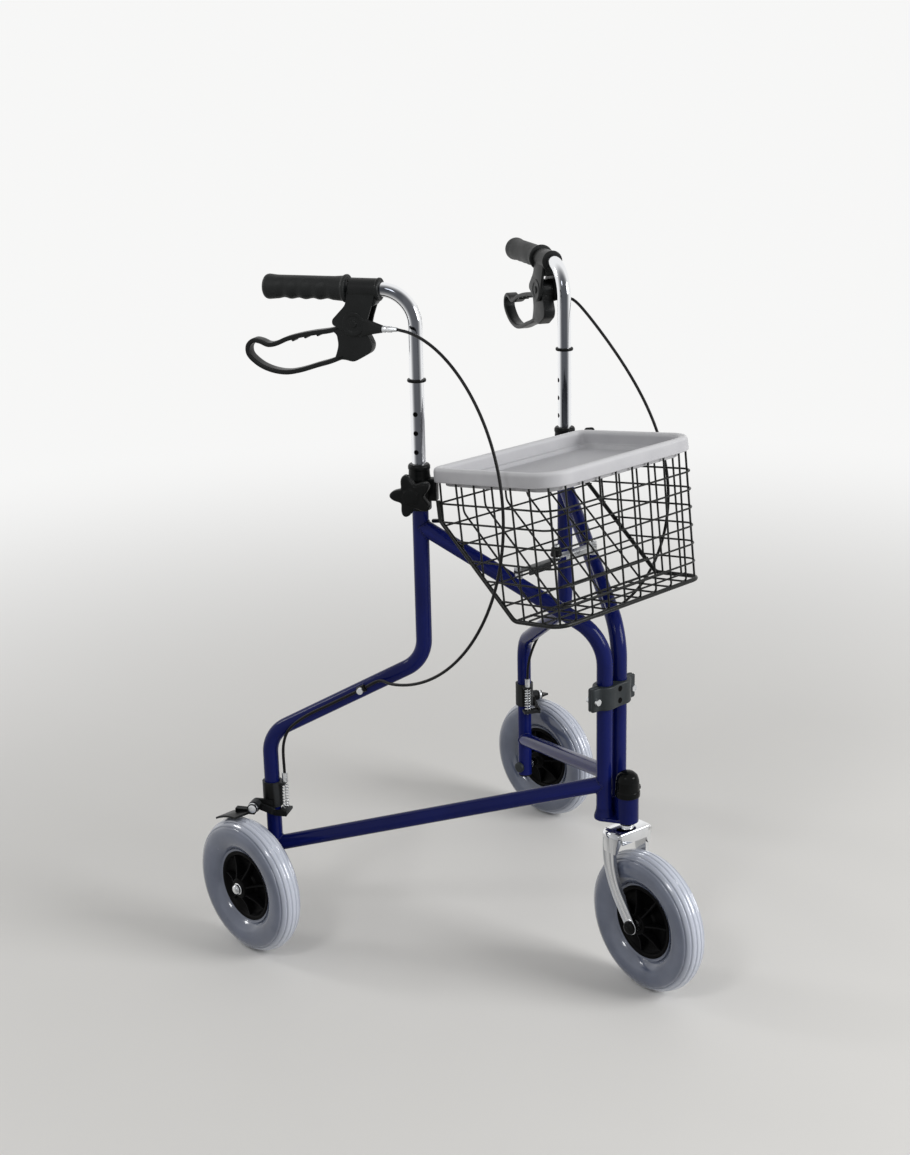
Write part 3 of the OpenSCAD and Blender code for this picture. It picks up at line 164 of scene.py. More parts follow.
def finish(name, dark, light, scale, rough, bump=0.0, bump_scale=400.0, stretch=(1, 1, 1), metallic=0.0, coat=0.0,
           edge=None, shine=0.5):
    """Finish of one material: a soft noise carries the colour from dark to light and the roughness between its two
    values, a finer noise lifts the surface a little, and edge, where given, is the paler colour worn on to edges.
    Shine is how much a surface that isn't metal mirrors."""
    made = bpy.data.materials.new(name)
    made.use_nodes = True
    tree = made.node_tree
    nodes, links = tree.nodes, tree.links
    shader = preset(nodes["Principled BSDF"], {"Metallic": metallic, "Specular IOR Level": shine, "Coat Weight": coat,
                                               "Coat Roughness": 0.06})
    where = nodes.new("ShaderNodeTexCoord")
    spread = preset(nodes.new("ShaderNodeMapping"), {"Scale": stretch})
    links.new(where.outputs["Object"], spread.inputs["Vector"])
    cloud = preset(nodes.new("ShaderNodeTexNoise"), {"Scale": scale, "Detail": 5.0})
    links.new(spread.outputs["Vector"], cloud.inputs["Vector"])
    tint = nodes.new("ShaderNodeValToRGB")
    for stop, at, colour in zip(tint.color_ramp.elements, (0.32, 0.68), (dark, light)):
        stop.position, stop.color = at, (*colour, 1.0)
    links.new(cloud.outputs["Fac"], tint.inputs["Fac"])
    links.new(tint.outputs["Color"], shader.inputs["Base Color"])
    if edge is not None:
        toward(tree, ranged(tree, nodes.new("ShaderNodeNewGeometry").outputs["Pointiness"], 0.54, 0.66), edge)
    links.new(ranged(tree, cloud.outputs["Fac"], 0.3, 0.7, rough), shader.inputs["Roughness"])
    if bump:
        grain = preset(nodes.new("ShaderNodeTexNoise"), {"Scale": bump_scale, "Detail": 3.0})
        links.new(spread.outputs["Vector"], grain.inputs["Vector"])
        lift = preset(nodes.new("ShaderNodeBump"), {"Strength": bump, "Distance": 0.001})
        links.new(grain.outputs["Fac"], lift.inputs["Height"])
        links.new(lift.outputs["Normal"], shader.inputs["Normal"])
    return made


pale_floor = finish("pale_floor", (0.70, 0.69, 0.67), (0.72, 0.71, 0.69), 2.0, (0.55, 0.7))
ground = pale_floor.node_tree
far = worked(ground, "VectorMath", "LENGTH", (ground.nodes.new("ShaderNodeTexCoord").outputs["Object"],))
share = worked(ground, "Math", "MULTIPLY", (ranged(ground, far, 0.5, 3.2, smooth=True), seen_directly(ground)))
white = preset(ground.nodes.new("ShaderNodeEmission"), {"Color": BACKDROP})
mixed = ground.nodes.new("ShaderNodeMixShader")
for given, socket in zip((share, ground.nodes["Principled BSDF"].outputs[0], white.outputs[0]), mixed.inputs):
    ground.links.new(given, socket)
ground.links.new(mixed.outputs["Shader"], ground.nodes["Material Output"].inputs["Surface"])
floor.data.materials.append(pale_floor)

# Side frames
# Each side is three 22 mm steel tubes, bent and welded flat in one plane and sprayed
# deep gloss blue: a cranked rear tube, a bent front tube and a lower tube between the posts.
MM = 0.001
TUBE_R = 11.0
POST_X, POST_Y = 14.5, -171.457
OPEN = np.radians(31.0)
UPRIGHT_R, REAR_R = 250.0, 483.0
TOP_Z, CRANK_Z, SLOPE_Z, FOOT_Z = 716.0, 448.0, 319.0, 85.0
FRONT_LOW, BEND_Z, JOIN_Z = 239.6, 496.0, 639.0
LOWER_FRONT, LOWER_REAR = 285.0, 146.0
TUBE_SIDES = 36
HANDS = ((1, "left"), (-1, "right"))
blue_paint = finish("blue_paint", (0.0030, 0.006, 0.068), (0.0045, 0.009, 0.094), 9.0, (0.12, 0.20), 0.05, 900.0,
                    coat=0.09, edge=(0.012, 0.018, 0.17), shine=0.07)
weld_paint = finish("blue_weld_paint", (0.0035, 0.006, 0.055), (0.006, 0.010, 0.095), 120.0, (0.2, 0.35), 0.35, 700.0,
                    coat=0.09, shine=0.1)
black_plug = finish("black_end_plug", (0.004, 0.004, 0.0045), (0.007, 0.007, 0.0075), 60.0, (0.42, 0.55), 0.1, 900.0,
                    shine=0.15)


def on_side(s, points):
    """Row frame place of points given as (out, along, height) of a side frame; s is 1 for left, -1 for right."""
    out, along, height = np.moveaxis(np.asarray(points, float), -1, 0)
    return np.stack((s * (POST_X + along * np.sin(OPEN) + out * np.cos(OPEN)),
                     POST_Y + along * np.cos(OPEN) - out * np.sin(OPEN), height), -1)


def heading(place, s, way):
    """Row frame direction of a way that is given in the frame which place maps from."""
    return place(s, way) - place(s, (0, 0, 0))


def rounded_path(corners, radii, step=6.0):
    """Line through corners with each inner corner replaced by an arc of its radius, sampled every few degrees."""
    corners = np.asarray(corners, float)
    out = [corners[:1]]
    for before, here, after, radius in zip(corners[:-2], corners[1:-1], corners[2:], radii):
        a, b = unit(before - here), unit(after - here)
        half = np.arccos(np.clip(a @ b, -1, 1)) / 2
        reach = radius / np.tan(half)
        centre = here + unit(a + b) * radius / np.sin(half)
        turn = np.pi - 2 * half
        share = np.linspace(0, 1, max(3, int(np.degrees(turn) / step) + 2))[:, None]
        first, last = here + a * reach - centre, here + b * reach - centre
        out.append(centre + (np.sin((1 - share) * turn) * first + np.sin(share * turn) * last) / np.sin(turn))
    return np.vstack(out + [corners[-1:]])


def around(count):
    """Angles spaced evenly over one turn."""
    return np.linspace(0, 2 * np.pi, count, endpoint=False)


def circle(radius, sides=28):
    """Round section: sides points of (across, up) on a circle."""
    return radius * np.stack((np.cos(around(sides)), np.sin(around(sides))), -1)


def carried(path, section, side, closed=False):
    """A flat section carried along a path. Across is the side direction made square to the path, up is square to
    both; section is (points, 2), or (path, points, 2) where it changes on the way. A closed path meets its start, an
    open one gets end faces. The result is a patch for piece."""
    path = np.asarray(path, float)
    if closed:
        run = np.roll(path, -1, 0) - np.roll(path, 1, 0)
    else:
        steps = unit(np.diff(path, axis=0))
        run = np.vstack((steps[:1], steps[:-1] + steps[1:], steps[-1:]))
    run = unit(run)
    side = np.broadcast_to(np.asarray(side, float), path.shape)
    a = unit(side - (side * run).sum(1)[:, None] * run)
    u = np.cross(run, a)
    section = np.broadcast_to(section, (len(path),) + np.shape(section)[-2:])
    rows = path[:, None] + section[..., :1] * a[:, None] + section[..., 1:] * u[:, None]
    return np.concatenate((rows, rows[:1])) if closed else rows, True, not closed


def piece(name, patches, material, body, nodes=(), sharp=38.0, ride=True):
    """One mesh from patches, each (grid of points in mm, ring, ends): every cell of a grid is a quad, ring joins the
    last column to the first, and ends closes the first and last rows by a face. Where ride is set it rides on body."""
    points, faces, base = [], [], 0
    for grid, ring, ends in patches:
        rows, columns = grid.shape[:2]
        ids = base + np.arange(rows * columns).reshape(rows, columns)
        wide = np.hstack((ids, ids[:, :1])) if ring else ids
        faces += np.stack((wide[:-1, :-1], wide[1:, :-1], wide[1:, 1:], wide[:-1, 1:]), -1).reshape(-1, 4).tolist()
        if ends:
            faces += [ids[0, ::-1].tolist(), ids[-1].tolist()]
        points.append(grid.reshape(-1, 3))
        base += rows * columns
    mesh = bpy.data.meshes.new(name)
    mesh.from_pydata((np.vstack(points) * MM).tolist(), [], faces)
    work = bmesh.new()
    work.from_mesh(mesh)
    bmesh.ops.remove_doubles(work, verts=work.verts, dist=2e-6)
    bmesh.ops.recalc_face_normals(work, faces=work.faces)
    work.to_mesh(mesh)
    work.free()
    mesh.shade_smooth()
    mesh.set_sharp_from_angle(angle=np.radians(sharp))
    mesh.materials.append(material)
    made = bpy.data.objects.new(name, mesh)
    scene.collection.objects.link(made)
    if ride:
        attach(made, body)
    if nodes:
        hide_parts(*nodes)
    return made


def coped(start, way, post, sides=TUBE_SIDES):
    """Rows of a straight tube from start along way, in one side plane, cut at both ends to the faces of the posts at
    along = post[0] and post[1]: at each angle the tube stops where its own line meets the round of the post."""
    a = around(sides)
    out, lift = TUBE_R * np.cos(a), TUBE_R * np.sin(a)
    saddle = np.sqrt(np.maximum(TUBE_R ** 2 - out ** 2, 0))
    rows = []
    for stop in (post[0] + saddle, post[1] - saddle):
        t = (stop - start[0] + lift * way[1]) / way[0]
        rows.append(np.stack((out, start[0] + t * way[0] - lift * way[1], start[1] + t * way[1] + lift * way[0]), -1))
    share = np.linspace(0, 1, 5)[:, None, None]
    return rows[0] * (1 - share) + rows[1] * share


def bead(loop, size=1.2, ripple=0.2, waves=26):
    """Weld bead: a small round section carried round a loop of points, swelling and shrinking like laid drops."""
    loop = np.asarray(loop, float)
    fine = np.linspace(0, len(loop), 4 * len(loop), endpoint=False)
    whole = np.vstack((loop, loop[:1]))
    loop = np.stack([np.interp(fine, np.arange(len(whole)), whole[:, k]) for k in range(3)], -1)
    size = size + ripple * np.cos(np.linspace(0, 2 * np.pi * waves, len(loop), endpoint=False))
    return carried(loop, circle(1.0, 8)[None] * size[:, None, None], loop.mean(0) - loop, closed=True)


diagonal = np.arctan2(JOIN_Z - BEND_Z, UPRIGHT_R)
rising_way = np.array((np.cos(diagonal), np.sin(diagonal)))
lower_way = np.array((REAR_R, LOWER_REAR - LOWER_FRONT)) / np.hypot(REAR_R, LOWER_FRONT - LOWER_REAR)
for s, hand in HANDS:
    body = hand + "_frame"
    sideways = heading(on_side, s, (1, 0, 0))
    rear = rounded_path([(0, UPRIGHT_R, TOP_Z), (0, UPRIGHT_R, CRANK_Z), (0, REAR_R, SLOPE_Z), (0, REAR_R, FOOT_Z)],
                        (50.0, 50.0), 4.0)
    piece(hand + "_rear_tube_skin", [carried(on_side(s, rear), circle(TUBE_R, TUBE_SIDES), sideways)],
          blue_paint, body, [hand + "_rear_tube"])
    plug = np.array([(0, REAR_R, z) for z in (FOOT_Z + 7.0, FOOT_Z + 0.2, FOOT_Z - 1.8, FOOT_Z - 2.6)])
    plug_r = np.array((9.4, 11.2, 10.6, 8.6))
    piece(hand + "_rear_plug", [carried(on_side(s, plug), circle(1.0) * plug_r[:, None, None], sideways)], black_plug,
          body)
    rising = coped((0.0, BEND_Z), rising_way, (0.0, UPRIGHT_R))
    front = rounded_path([(0, 0, FRONT_LOW), (0, 0, BEND_Z), (0, UPRIGHT_R, JOIN_Z)], (70.0,), 4.0)[:-1]
    bent = carried(on_side(s, front), circle(TUBE_R, TUBE_SIDES), sideways)[0]
    matched = on_side(s, rising[-1:, (-s * np.arange(TUBE_SIDES)) % TUBE_SIDES])
    piece(hand + "_front_tube_skin", [(np.concatenate((bent, matched)), True, True)], blue_paint, body,
          [hand + "_front_tube"])
    low = coped((0.0, LOWER_FRONT), lower_way, (0.0, REAR_R))
    piece(hand + "_lower_tube_skin", [(on_side(s, low), True, True)], blue_paint, body,
          [hand + "_lower_tube"])
    piece(hand + "_frame_welds", [bead(on_side(s, loop)) for loop in (rising[-1], low[0], low[-1])],
          weld_paint, body, sharp=80.0)

# Head, cap and hinge block
# The blue caster housing is a short turned tube on a pressed plate under both posts, closed by a black
# rubber cap; higher up a dark moulded block in two halves holds the posts side by side, with bolts at its ears.
HEAD_Y = POST_Y - 29.0
black_rubber = finish("black_rubber", (0.0025, 0.003, 0.003), (0.0045, 0.005, 0.005), 80.0, (0.10, 0.18), 0.04, 600.0,
                      shine=0.08)
dark_moulding = finish("dark_grey_moulding", (0.013, 0.017, 0.019), (0.020, 0.025, 0.028), 55.0, (0.34, 0.46), 0.12,
                       1100.0, edge=(0.05, 0.057, 0.062), shine=0.25)
# Painted shade: a near-black matte colour for the shade inside the block's pits and the stem's height holes.
painted_pit_shade = finish("painted_pit_shade", (0.0010, 0.0010, 0.0010), (0.0018, 0.0018, 0.0018), 60.0, (0.7, 0.85), 0.1, 900.0,
                      shine=0.05)
zinc_plate = finish("bright_zinc", (0.50, 0.52, 0.54), (0.66, 0.67, 0.68), 90.0, (0.22, 0.38), 0.06, 700.0,
                    metallic=1.0)


def turned(profile, origin, axis=(0, 0, 1), steps=56):
    """Surface of revolution: each (along, radius) row of profile goes round the axis that starts at origin."""
    profile = np.asarray(profile, float)
    axis = unit(np.asarray(axis, float))
    first = unit(np.cross(axis, (0.0, 0.0, 1.0) if abs(axis[2]) < 0.9 else (1.0, 0.0, 0.0)))
    second = np.cross(axis, first)
    a = around(steps)
    ring = np.cos(a)[:, None] * first + np.sin(a)[:, None] * second
    return np.asarray(origin, float) + profile[:, :1, None] * axis + profile[:, 1:, None] * ring, True, False


def fillet(profile, radius, steps=5):
    """Profile with its inner corners rounded to radius where the sides are long enough."""
    profile = np.asarray(profile, float)
    out = [profile[:1]]
    for before, here, after in zip(profile[:-2], profile[1:-1], profile[2:]):
        reach = min(radius, 0.45 * np.linalg.norm(before - here), 0.45 * np.linalg.norm(after - here))
        a = here + (before - here) / max(np.linalg.norm(before - here), 1e-9) * reach
        b = here + (after - here) / max(np.linalg.norm(after - here), 1e-9) * reach
        t = np.linspace(0, 1, steps)[:, None]
        out.append((1 - t) ** 2 * a + 2 * t * (1 - t) * here + t ** 2 * b)
    return np.vstack(out + [profile[-1:]])


def slab(outline, low, high, edge, place, steps=4):
    """Plate with rounded edges: the closed outline (u, v) is drawn in by edge at both faces and swells to full size
    between them on a quarter round; place maps (u, v, w) to the row frame."""
    outline = np.asarray(outline, float)
    run = unit(np.roll(outline, -1, 0) - np.roll(outline, 1, 0))
    area = np.sum(outline[:, 0] * np.roll(outline[:, 1], -1) - np.roll(outline[:, 0], -1) * outline[:, 1])
    inward = np.stack((-run[:, 1], run[:, 0]), -1) * np.sign(area)
    t = np.linspace(0, np.pi / 2, steps + 1)
    inset = np.concatenate((edge * (1 - np.sin(t)), edge * (1 - np.cos(t))))
    height = np.concatenate((low + edge * (1 - np.cos(t)), high - edge * (1 - np.sin(t))))
    flat = outline[None] + inset[:, None, None] * inward[None]
    grid = np.concatenate((flat, np.broadcast_to(height[:, None, None], flat.shape[:2] + (1,))), -1)
    return place(grid), True, True


def hull_round(discs, sides=96):
    """Outline of a belt pulled round discs (u, v, radius): in each direction the furthest of the discs."""
    ray = circle(1.0, sides)
    discs = np.asarray(discs, float)
    best = np.argmax(ray @ discs[:, :2].T + discs[:, 2], axis=1)
    return discs[best, :2] + discs[best, 2:] * ray


housing = fillet([(234, 0), (234, 13), (234, 15.5), (273, 15.5)], 1.2)
piece("caster_housing", [turned(housing, (0, HEAD_Y, 0)),
      slab(hull_round([(-POST_X, POST_Y, 14), (POST_X, POST_Y, 14), (0, HEAD_Y, 14)]), 234, 239, 1.2, lambda g: g),
      *[turned(fillet([(238.5, 13.8), (240.2, 13.6), (246, 11.6), (251, 11.25)], 2.0), (s * POST_X, POST_Y, 0))
        for s in (-1, 1)],
      slab([(HEAD_Y + 13, 238), (POST_Y + 6, 238), (POST_Y + 6, 258), (HEAD_Y + 20, 264), (HEAD_Y + 13, 264)],
           -2.5, 2.5, 0.8, lambda g: g[..., [2, 0, 1]])],
      blue_paint, "head", ["head_housing"])
cap = fillet([(271.5, 15.7), (271.5, 17.2), (275, 17.4), (279, 17.2), (280.5, 16.4), (294, 16.0), (302, 13.6),
              (306.5, 8.5), (308, 3.0), (308, 0)], 1.6)
nub = fillet([(14, 4.6), (18.6, 4.6), (19.6, 3.4), (19.8, 0)], 0.8)
piece("caster_cap", [turned(cap, (0, HEAD_Y, 0)), turned(nub, (0, HEAD_Y, 281), (0.96, -0.28, 0), 24)], black_rubber,
      "head", ["head_cap"])

BLOCK_LOW, BLOCK_HIGH, SOCKETS_Z = 397.5, 430.5, (406.5, 423.5)
socket_pit = [(0.2, 4.1), (1.10, 4.0), (1.12, 3.8), (1.10, 0)]
block_half = np.array([(-43, 0.3), (-43, 4.5), (-40, 6.0), (-33, 6.0), (-29.8, 7.8), (-26.5, 12.0), (-21, 15.0),
                       (-14.5, 16.0), (-8, 15.2), (0, 14.6)])
block_half = np.vstack((block_half, (block_half * (-1, 1))[-2::-1]))
block_half = np.vstack((fillet(block_half, 3.0), [(14.5, 0.3), (-14.5, 0.3)]))
for way, half in ((-1, "front"), (1, "rear")):
    # Painted shade: each socket is a thin near-black disc on the block's face, standing for the shade inside a pit.
    sockets = [turned(socket_pit, (0, POST_Y + way * 13.9, z), (0, way, 0), 28) for z in SOCKETS_Z]
    piece("hinge_block_" + half + "_half",
          [slab(block_half, BLOCK_LOW, BLOCK_HIGH, 2.2,
                lambda g: np.stack((g[..., 0], POST_Y + way * g[..., 1], g[..., 2]), -1))],
          dark_moulding, "head", ["hinge_block_" + half])
    piece("hinge_block_" + half + "_socket_shade", sockets, painted_pit_shade, "head")


def dress(node, material):
    """Gives a CAD node that stays in view its material."""
    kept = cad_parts[node].data.materials
    kept.clear()
    kept.append(material)


dress("hinge_block_bolts", zinc_plate)
dress("head_bushes", dark_moulding)

# Caster fork, stem and axle
# The front wheel runs in a bright pressed fork: a crown with turned-down edges and two channelled legs that
# lean forward to the axle. A zinc pin with a nut turns in the housing, black caps close the axle ends.
CASTER_TURN = np.radians(-7.0)
TRAIL, WHEEL_R = 43.0, 100.0


def chromed(name, dark, light, edge, reflection_turning=(0.10, 0.55)):
    """Chrome plate with painted reflections: a metal whose colour goes from its dark mirror tone to edge as the surface
    turns away, by Layer Weight's Facing between two given values, over soft streaks along the height. The pale edge
    colour is a painted reflection, and the streaks along the height are painted reflection streaks."""
    made = finish(name, dark, light, 30.0, (0.05, 0.12), 0.02, 260.0, stretch=(1, 1, 0.15), metallic=1.0)
    tree = made.node_tree
    facing_reflection = preset(tree.nodes.new("ShaderNodeLayerWeight"), {"Blend": 0.5})
    toward(tree, ranged(tree, facing_reflection.outputs["Facing"], *reflection_turning, smooth=True), edge)
    return made


# Fork and axle chrome: the near white edge colour is a painted reflection.
chrome = chromed("bright_chrome", (0.27, 0.28, 0.295), (0.42, 0.43, 0.45), (0.88, 0.89, 0.90))


def on_caster(points):
    """Row frame place of points given as (across, back, height) of the fork, turned about the caster axis."""
    x, back, height = np.moveaxis(np.asarray(points, float), -1, 0)
    c, n = np.cos(CASTER_TURN), np.sin(CASTER_TURN)
    return np.stack((c * x - n * back, HEAD_Y + n * x + c * back, height), -1)


LEG_MID = 30.0
leg_line = rounded_path([(LEG_MID, 2, 214), (LEG_MID, 5, 165), (LEG_MID, -TRAIL, WHEEL_R)], (112.0,), 3.0)
t = np.linspace(0, 1, len(leg_line))
leg_half = 11.6 - 2.4 * np.clip(t * 1.4, 0, 1) + 0.6 * np.clip(t * 4 - 3, 0, 1)
channel = np.array([(-1, -3.0), (-1, 2.6), (-0.93, 3.3), (-0.82, 3.2), (-0.72, 1.4), (-0.35, 0.9), (-0.2, 1.9),
                    (0, 2.3), (0.2, 1.9), (0.35, 0.9), (0.72, 1.4), (0.82, 3.2), (0.93, 3.3), (1, 2.6), (1, -3.0)])
channel = fillet(channel, 1.2, 4)
section = channel[None] * np.stack((leg_half, np.ones_like(t)), -1)[:, None]
eye = fillet([(-3.0, 5.2), (-3.0, 10.6), (3.4, 10.6), (3.4, 8.6), (1.0, 8.2), (1.0, 5.2)], 0.9)
fork = []
for side in (-1, 1):
    leg = carried(leg_line * (side, 1, 1), section[..., ::-1] * (side, 1), (1, 0, 0))
    fork += [leg, turned(eye, (side * LEG_MID, -TRAIL, WHEEL_R), (side, 0, 0), 40)]
CROWN_HALF, CROWN_LOW, CROWN_MID, CROWN_TOP, SHEET = 33, 196, 214, 226, 2.6
bridge = [(-CROWN_HALF, 0, CROWN_LOW), (-CROWN_HALF, 0, CROWN_TOP)]
bridge = rounded_path(bridge + [(-x, y, z) for x, y, z in bridge[::-1]], (9.0, 9.0), 6.0)
drop = np.interp(np.abs(bridge[:, 0]), (0, 20, CROWN_HALF), (17.5, 19.0, 12.0))
drop *= np.interp(bridge[:, 2], (CROWN_LOW, CROWN_MID), (0.35, 1.0))
half = np.interp(bridge[:, 2], (CROWN_LOW, CROWN_MID, CROWN_TOP), (11.5, 14.0, 17.0))
lip = np.array([(-1, -1), (-1, -0.18), (-0.97, -0.06), (-0.9, 0), (0, 0.03), (0.9, 0), (0.97, -0.06), (1, -0.18),
                (1, -1)])
outer = np.stack((lip[None, :, 0] * half[:, None], lip[None, :, 1] * drop[:, None]), -1)
back_lip = lip[None, ::-1]
inner = np.stack((back_lip[..., 0] * (half[:, None] - SHEET),
                  back_lip[..., 1] * drop[:, None] - SHEET * (back_lip[..., 1] > -0.5)), -1)
crown = np.concatenate((outer, inner), 1)
fork.append(carried(bridge, crown, (0, 1, 0)))
piece("caster_fork_shell", [(on_caster(grid), *kind) for grid, *kind in fork], chrome, "caster",
      ["caster_fork"], sharp=50.0)
pin = fillet([(216, 0), (216, 10.5), (220.8, 10.8), (220.8, 7), (226.1, 7), (226.1, 10), (229.6, 10), (230.3, 8.6),
              (230.3, 7), (240, 7), (240, 0)], 0.7)
piece("caster_pin", [turned(pin, (0, HEAD_Y, 0))], zinc_plate, "caster", ["caster_stem"])
fork_cap = fillet([(32.4, 0), (32.4, 9.8), (35.6, 9.8), (38.2, 8.4), (39.8, 5.0), (40.3, 0)], 1.8)
hub_at = on_caster((0, -TRAIL, WHEEL_R))
axle_way = on_caster((1, 0, 0)) - on_caster((0, 0, 0))
piece("caster_axle_caps", [turned(fork_cap, hub_at, side * axle_way, 40) for side in (-1, 1)], black_rubber, "caster",
      ["front_axle_caps"])
dress("front_axle", zinc_plate)

# Wheels
# Three alike: a grey solid tyre with fine grooves round its tread, moulded on a black ribbed rim
# that runs on two small bearings. The rear ones turn on stub axles closed by domed nuts.


def tyre_finish(name, centre, axis):
    """Grey tyre rubber, cooler on the walls and painted paler towards the tread: the paler tread is painted light for
    the brighter light that the rolling face catches. The distance from the wheel's axis, taken from Object coordinates,
    carries the change; a soft noise breaks it up."""
    made = finish(name, (0.086, 0.102, 0.150), (0.124, 0.144, 0.205), 18.0, (0.14, 0.28), 0.04, 500.0, coat=1.0,
                  shine=0.3)
    tree = made.node_tree
    where = tree.nodes.new("ShaderNodeTexCoord").outputs["Object"]
    from_hub = worked(tree, "VectorMath", "SUBTRACT", (where, tuple(centre * MM)), "Vector")
    square = worked(tree, "VectorMath", "CROSS_PRODUCT", (from_hub, tuple(axis)), "Vector")
    reach = worked(tree, "VectorMath", "LENGTH", (square,))
    # Painted light: the colour turns much paler towards the tread, by distance from the axis.
    toward(tree, ranged(tree, reach, 0.088, 0.0995), (0.50, 0.53, 0.61))
    return made


rim_black = finish("black_rim_moulding", (0.0015, 0.0015, 0.0017), (0.003, 0.003, 0.0032), 70.0, (0.3, 0.42), 0.1,
                   1000.0, edge=(0.008, 0.008, 0.009), shine=0.04)
WHEEL_X, WHEEL_Y = 313.263, 242.555
TYRE_MID, TYRE_SIDE, GROOVES = 78.0, 22.0, (-52, -30, -10, 10, 30, 52)
turn = np.radians(np.linspace(-90, 90, 121))
groove = sum(np.exp(-((np.degrees(turn) - a) / 2.6) ** 2) for a in GROOVES)
tread_r = TYRE_SIDE - 1.5 * groove + 0.18 * np.exp(-(np.degrees(turn) / 1.2) ** 2)
wall = np.stack((tread_r * np.sin(turn), TYRE_MID + tread_r * np.cos(turn)), -1)
down = np.radians(np.linspace(3, 66, 26))
toe = np.stack((1.6 + 20.4 * np.cos(down), TYRE_MID - 25.0 * np.sin(down)), -1)
toe = np.vstack((toe, [(9.6, 52.6), (9.4, 51.2)]))
tyre_section = np.vstack((toe[::-1] * (-1, 1), wall, toe, toe[-1:] * (-1, 1)))
rim_section = np.array([(22, 5.3), (22, 12.5), (21.2, 14.2), (5.5, 16.5), (3.0, 19), (2.5, 24), (2.5, 36), (4.5, 42),
                        (7.4, 45.0), (9.2, 46.0), (10.6, 47.6), (11.0, 50.0), (10.2, 52.2)])
rim_section = fillet(np.vstack((rim_section, rim_section[::-1] * (-1, 1), rim_section[:1])), 1.4, 4)
RIBS, up = 7, np.array((0.0, 0.0, 1.0))
rib = [(13.5, 3), (13.5, 20.0), (30, 11.6), (46.0, 8.2), (46.0, 3)]
stub = fillet([(-61.1, 0), (-61.1, 5), (-38.9, 5), (-38.9, 7.6), (-22.5, 7.6), (-22.5, 4.9), (22.5, 4.9), (22.5, 8.6),
               (23.6, 8.6), (23.6, 7.4), (26.2, 7.3), (28.6, 6.0), (30.0, 3.2), (30.4, 0)], 0.6)
nut = fillet([(-67.1, 0), (-67.1, 6), (-66.2, 8.5), (-61.1, 8.5), (-61.1, 0)], 0.8)
rear_hubs = [(hand, np.array((s * WHEEL_X, WHEEL_Y, WHEEL_R)), np.array((s, 0.0, 0.0))) for s, hand in HANDS]
for name, centre, way in (("front", hub_at, axle_way), *rear_hubs):
    body = name + "_wheel"
    piece(name + "_tyre_ring", [turned(tyre_section, centre, way, 150)],
          tyre_finish(name + "_grey_tyre", centre, way), body, [name + "_tyre"], sharp=60.0)
    back = np.cross(up, way)
    ribs = []
    for a in around(RIBS) + 0.35:
        out, round_way = np.cos(a) * up + np.sin(a) * back, np.cos(a) * back - np.sin(a) * up
        ribs += [slab(np.asarray(rib), -1.3, 1.3, 0.7, lambda g: centre + g[..., :1] * out + f * g[..., 1:2] * way
                      + g[..., 2:] * round_way, 2) for f in (-1, 1)]
    piece(name + "_rim_dish", [turned(rim_section, centre, way, 96), *ribs], rim_black, body, [name + "_rim"])
    dress(name + "_bearings", zinc_plate)
    if name == "front":
        continue
    piece(name + "_stub_axle", [turned(stub, centre, way, 48)], chrome, name + "_frame", [name + "_axle"])
    piece(name + "_axle_nut", [turned(nut, centre, way, 40)], dark_moulding, name + "_frame")

# Telescoping stems, clamps and star knobs
# Each handle is a chromed 19 mm tube, bent back at the top, that slides in the upright. A black moulded
# sleeve with a side boss grips it, and a five-lobed knob drives the stud into one of the height holes.
HANDLE_Z, TOE = 953.0, np.radians(4.0)
KNOB_Z, HOLE_PITCH, STEM_R, STEM_LOW, HANDLE_L = 690.0, 25.5, 9.5, 606, 205
black_moulding = finish("black_moulding", (0.0030, 0.0034, 0.0036), (0.0052, 0.0058, 0.0060), 48.0, (0.28, 0.40), 0.12,
                        950.0, edge=(0.02, 0.021, 0.022), shine=0.09)


def on_handle(s, points):
    """Row frame place of points given as (out, back, height) of a handle, which toes in on its upright."""
    out, back, height = np.moveaxis(np.asarray(points, float), -1, 0)
    return on_side(s, np.stack((out * np.cos(TOE) - back * np.sin(TOE),
                                UPRIGHT_R + back * np.cos(TOE) + out * np.sin(TOE), height), -1))


# Stem chrome: painted very dark where it faces the eye and near white at its edges, a painted reflection both ways.
stem_chrome = chromed("stem_chrome", (0.05, 0.055, 0.065), (0.12, 0.125, 0.14), (0.90, 0.91, 0.93), (0.05, 0.36))
lobe = around(160)
star_r = 17.2 + 12.0 * (0.5 + 0.5 * np.cos(5 * lobe)) ** 1.05
star = np.stack((star_r * np.cos(lobe), star_r * np.sin(lobe)), -1)
sleeve = fillet([(662, 11.15), (662, 14.9), (663.5, 15.5), (704, 15.5), (709, 14.4), (716.5, 14.0), (717.5, 14.9),
                 (721.5, 14.9), (724, 13.2), (724, 9.7)], 0.9)
boss = fillet([(10, 11.5), (27, 11.5), (29, 10.4), (29, 3.4)], 1.2)
lug = np.array([(-24.5, 675), (-12, 675), (-12, 705), (-20.5, 705), (-24.5, 700), (-24.5, 675)]) + (UPRIGHT_R, 0)
button = fillet([(46.5, 12.5), (47.6, 12.2), (47.9, 10.2), (48.6, 9.8), (49.3, 6.0), (49.4, 0)], 0.7)
collar = fillet([(30, 3.2), (30, 9.4), (33, 10.4), (33, 3.2)], 0.6)
stud = [(9.9, 0), (9.9, 3.15), (32, 3.15), (32, 0)]
line = rounded_path([(0, 0, STEM_LOW), (0, 0, HANDLE_Z), (0, HANDLE_L, HANDLE_Z)], (46.0,), 3.0)
stem_ring = fillet([(834, 9.55), (834, 12.1), (836, 12.7), (838, 12.1), (838, 9.55)], 0.6)
round_it, reach = np.meshgrid(around(24), (3.4, 3.3, 2.2, 1.1, 0.0))
over, lift = reach * np.cos(round_it), reach * np.sin(round_it)
sunk = np.sqrt(STEM_R ** 2 - over ** 2) + np.array((-0.3, 0.05, 0.05, 0.05, 0.05))[:, None]
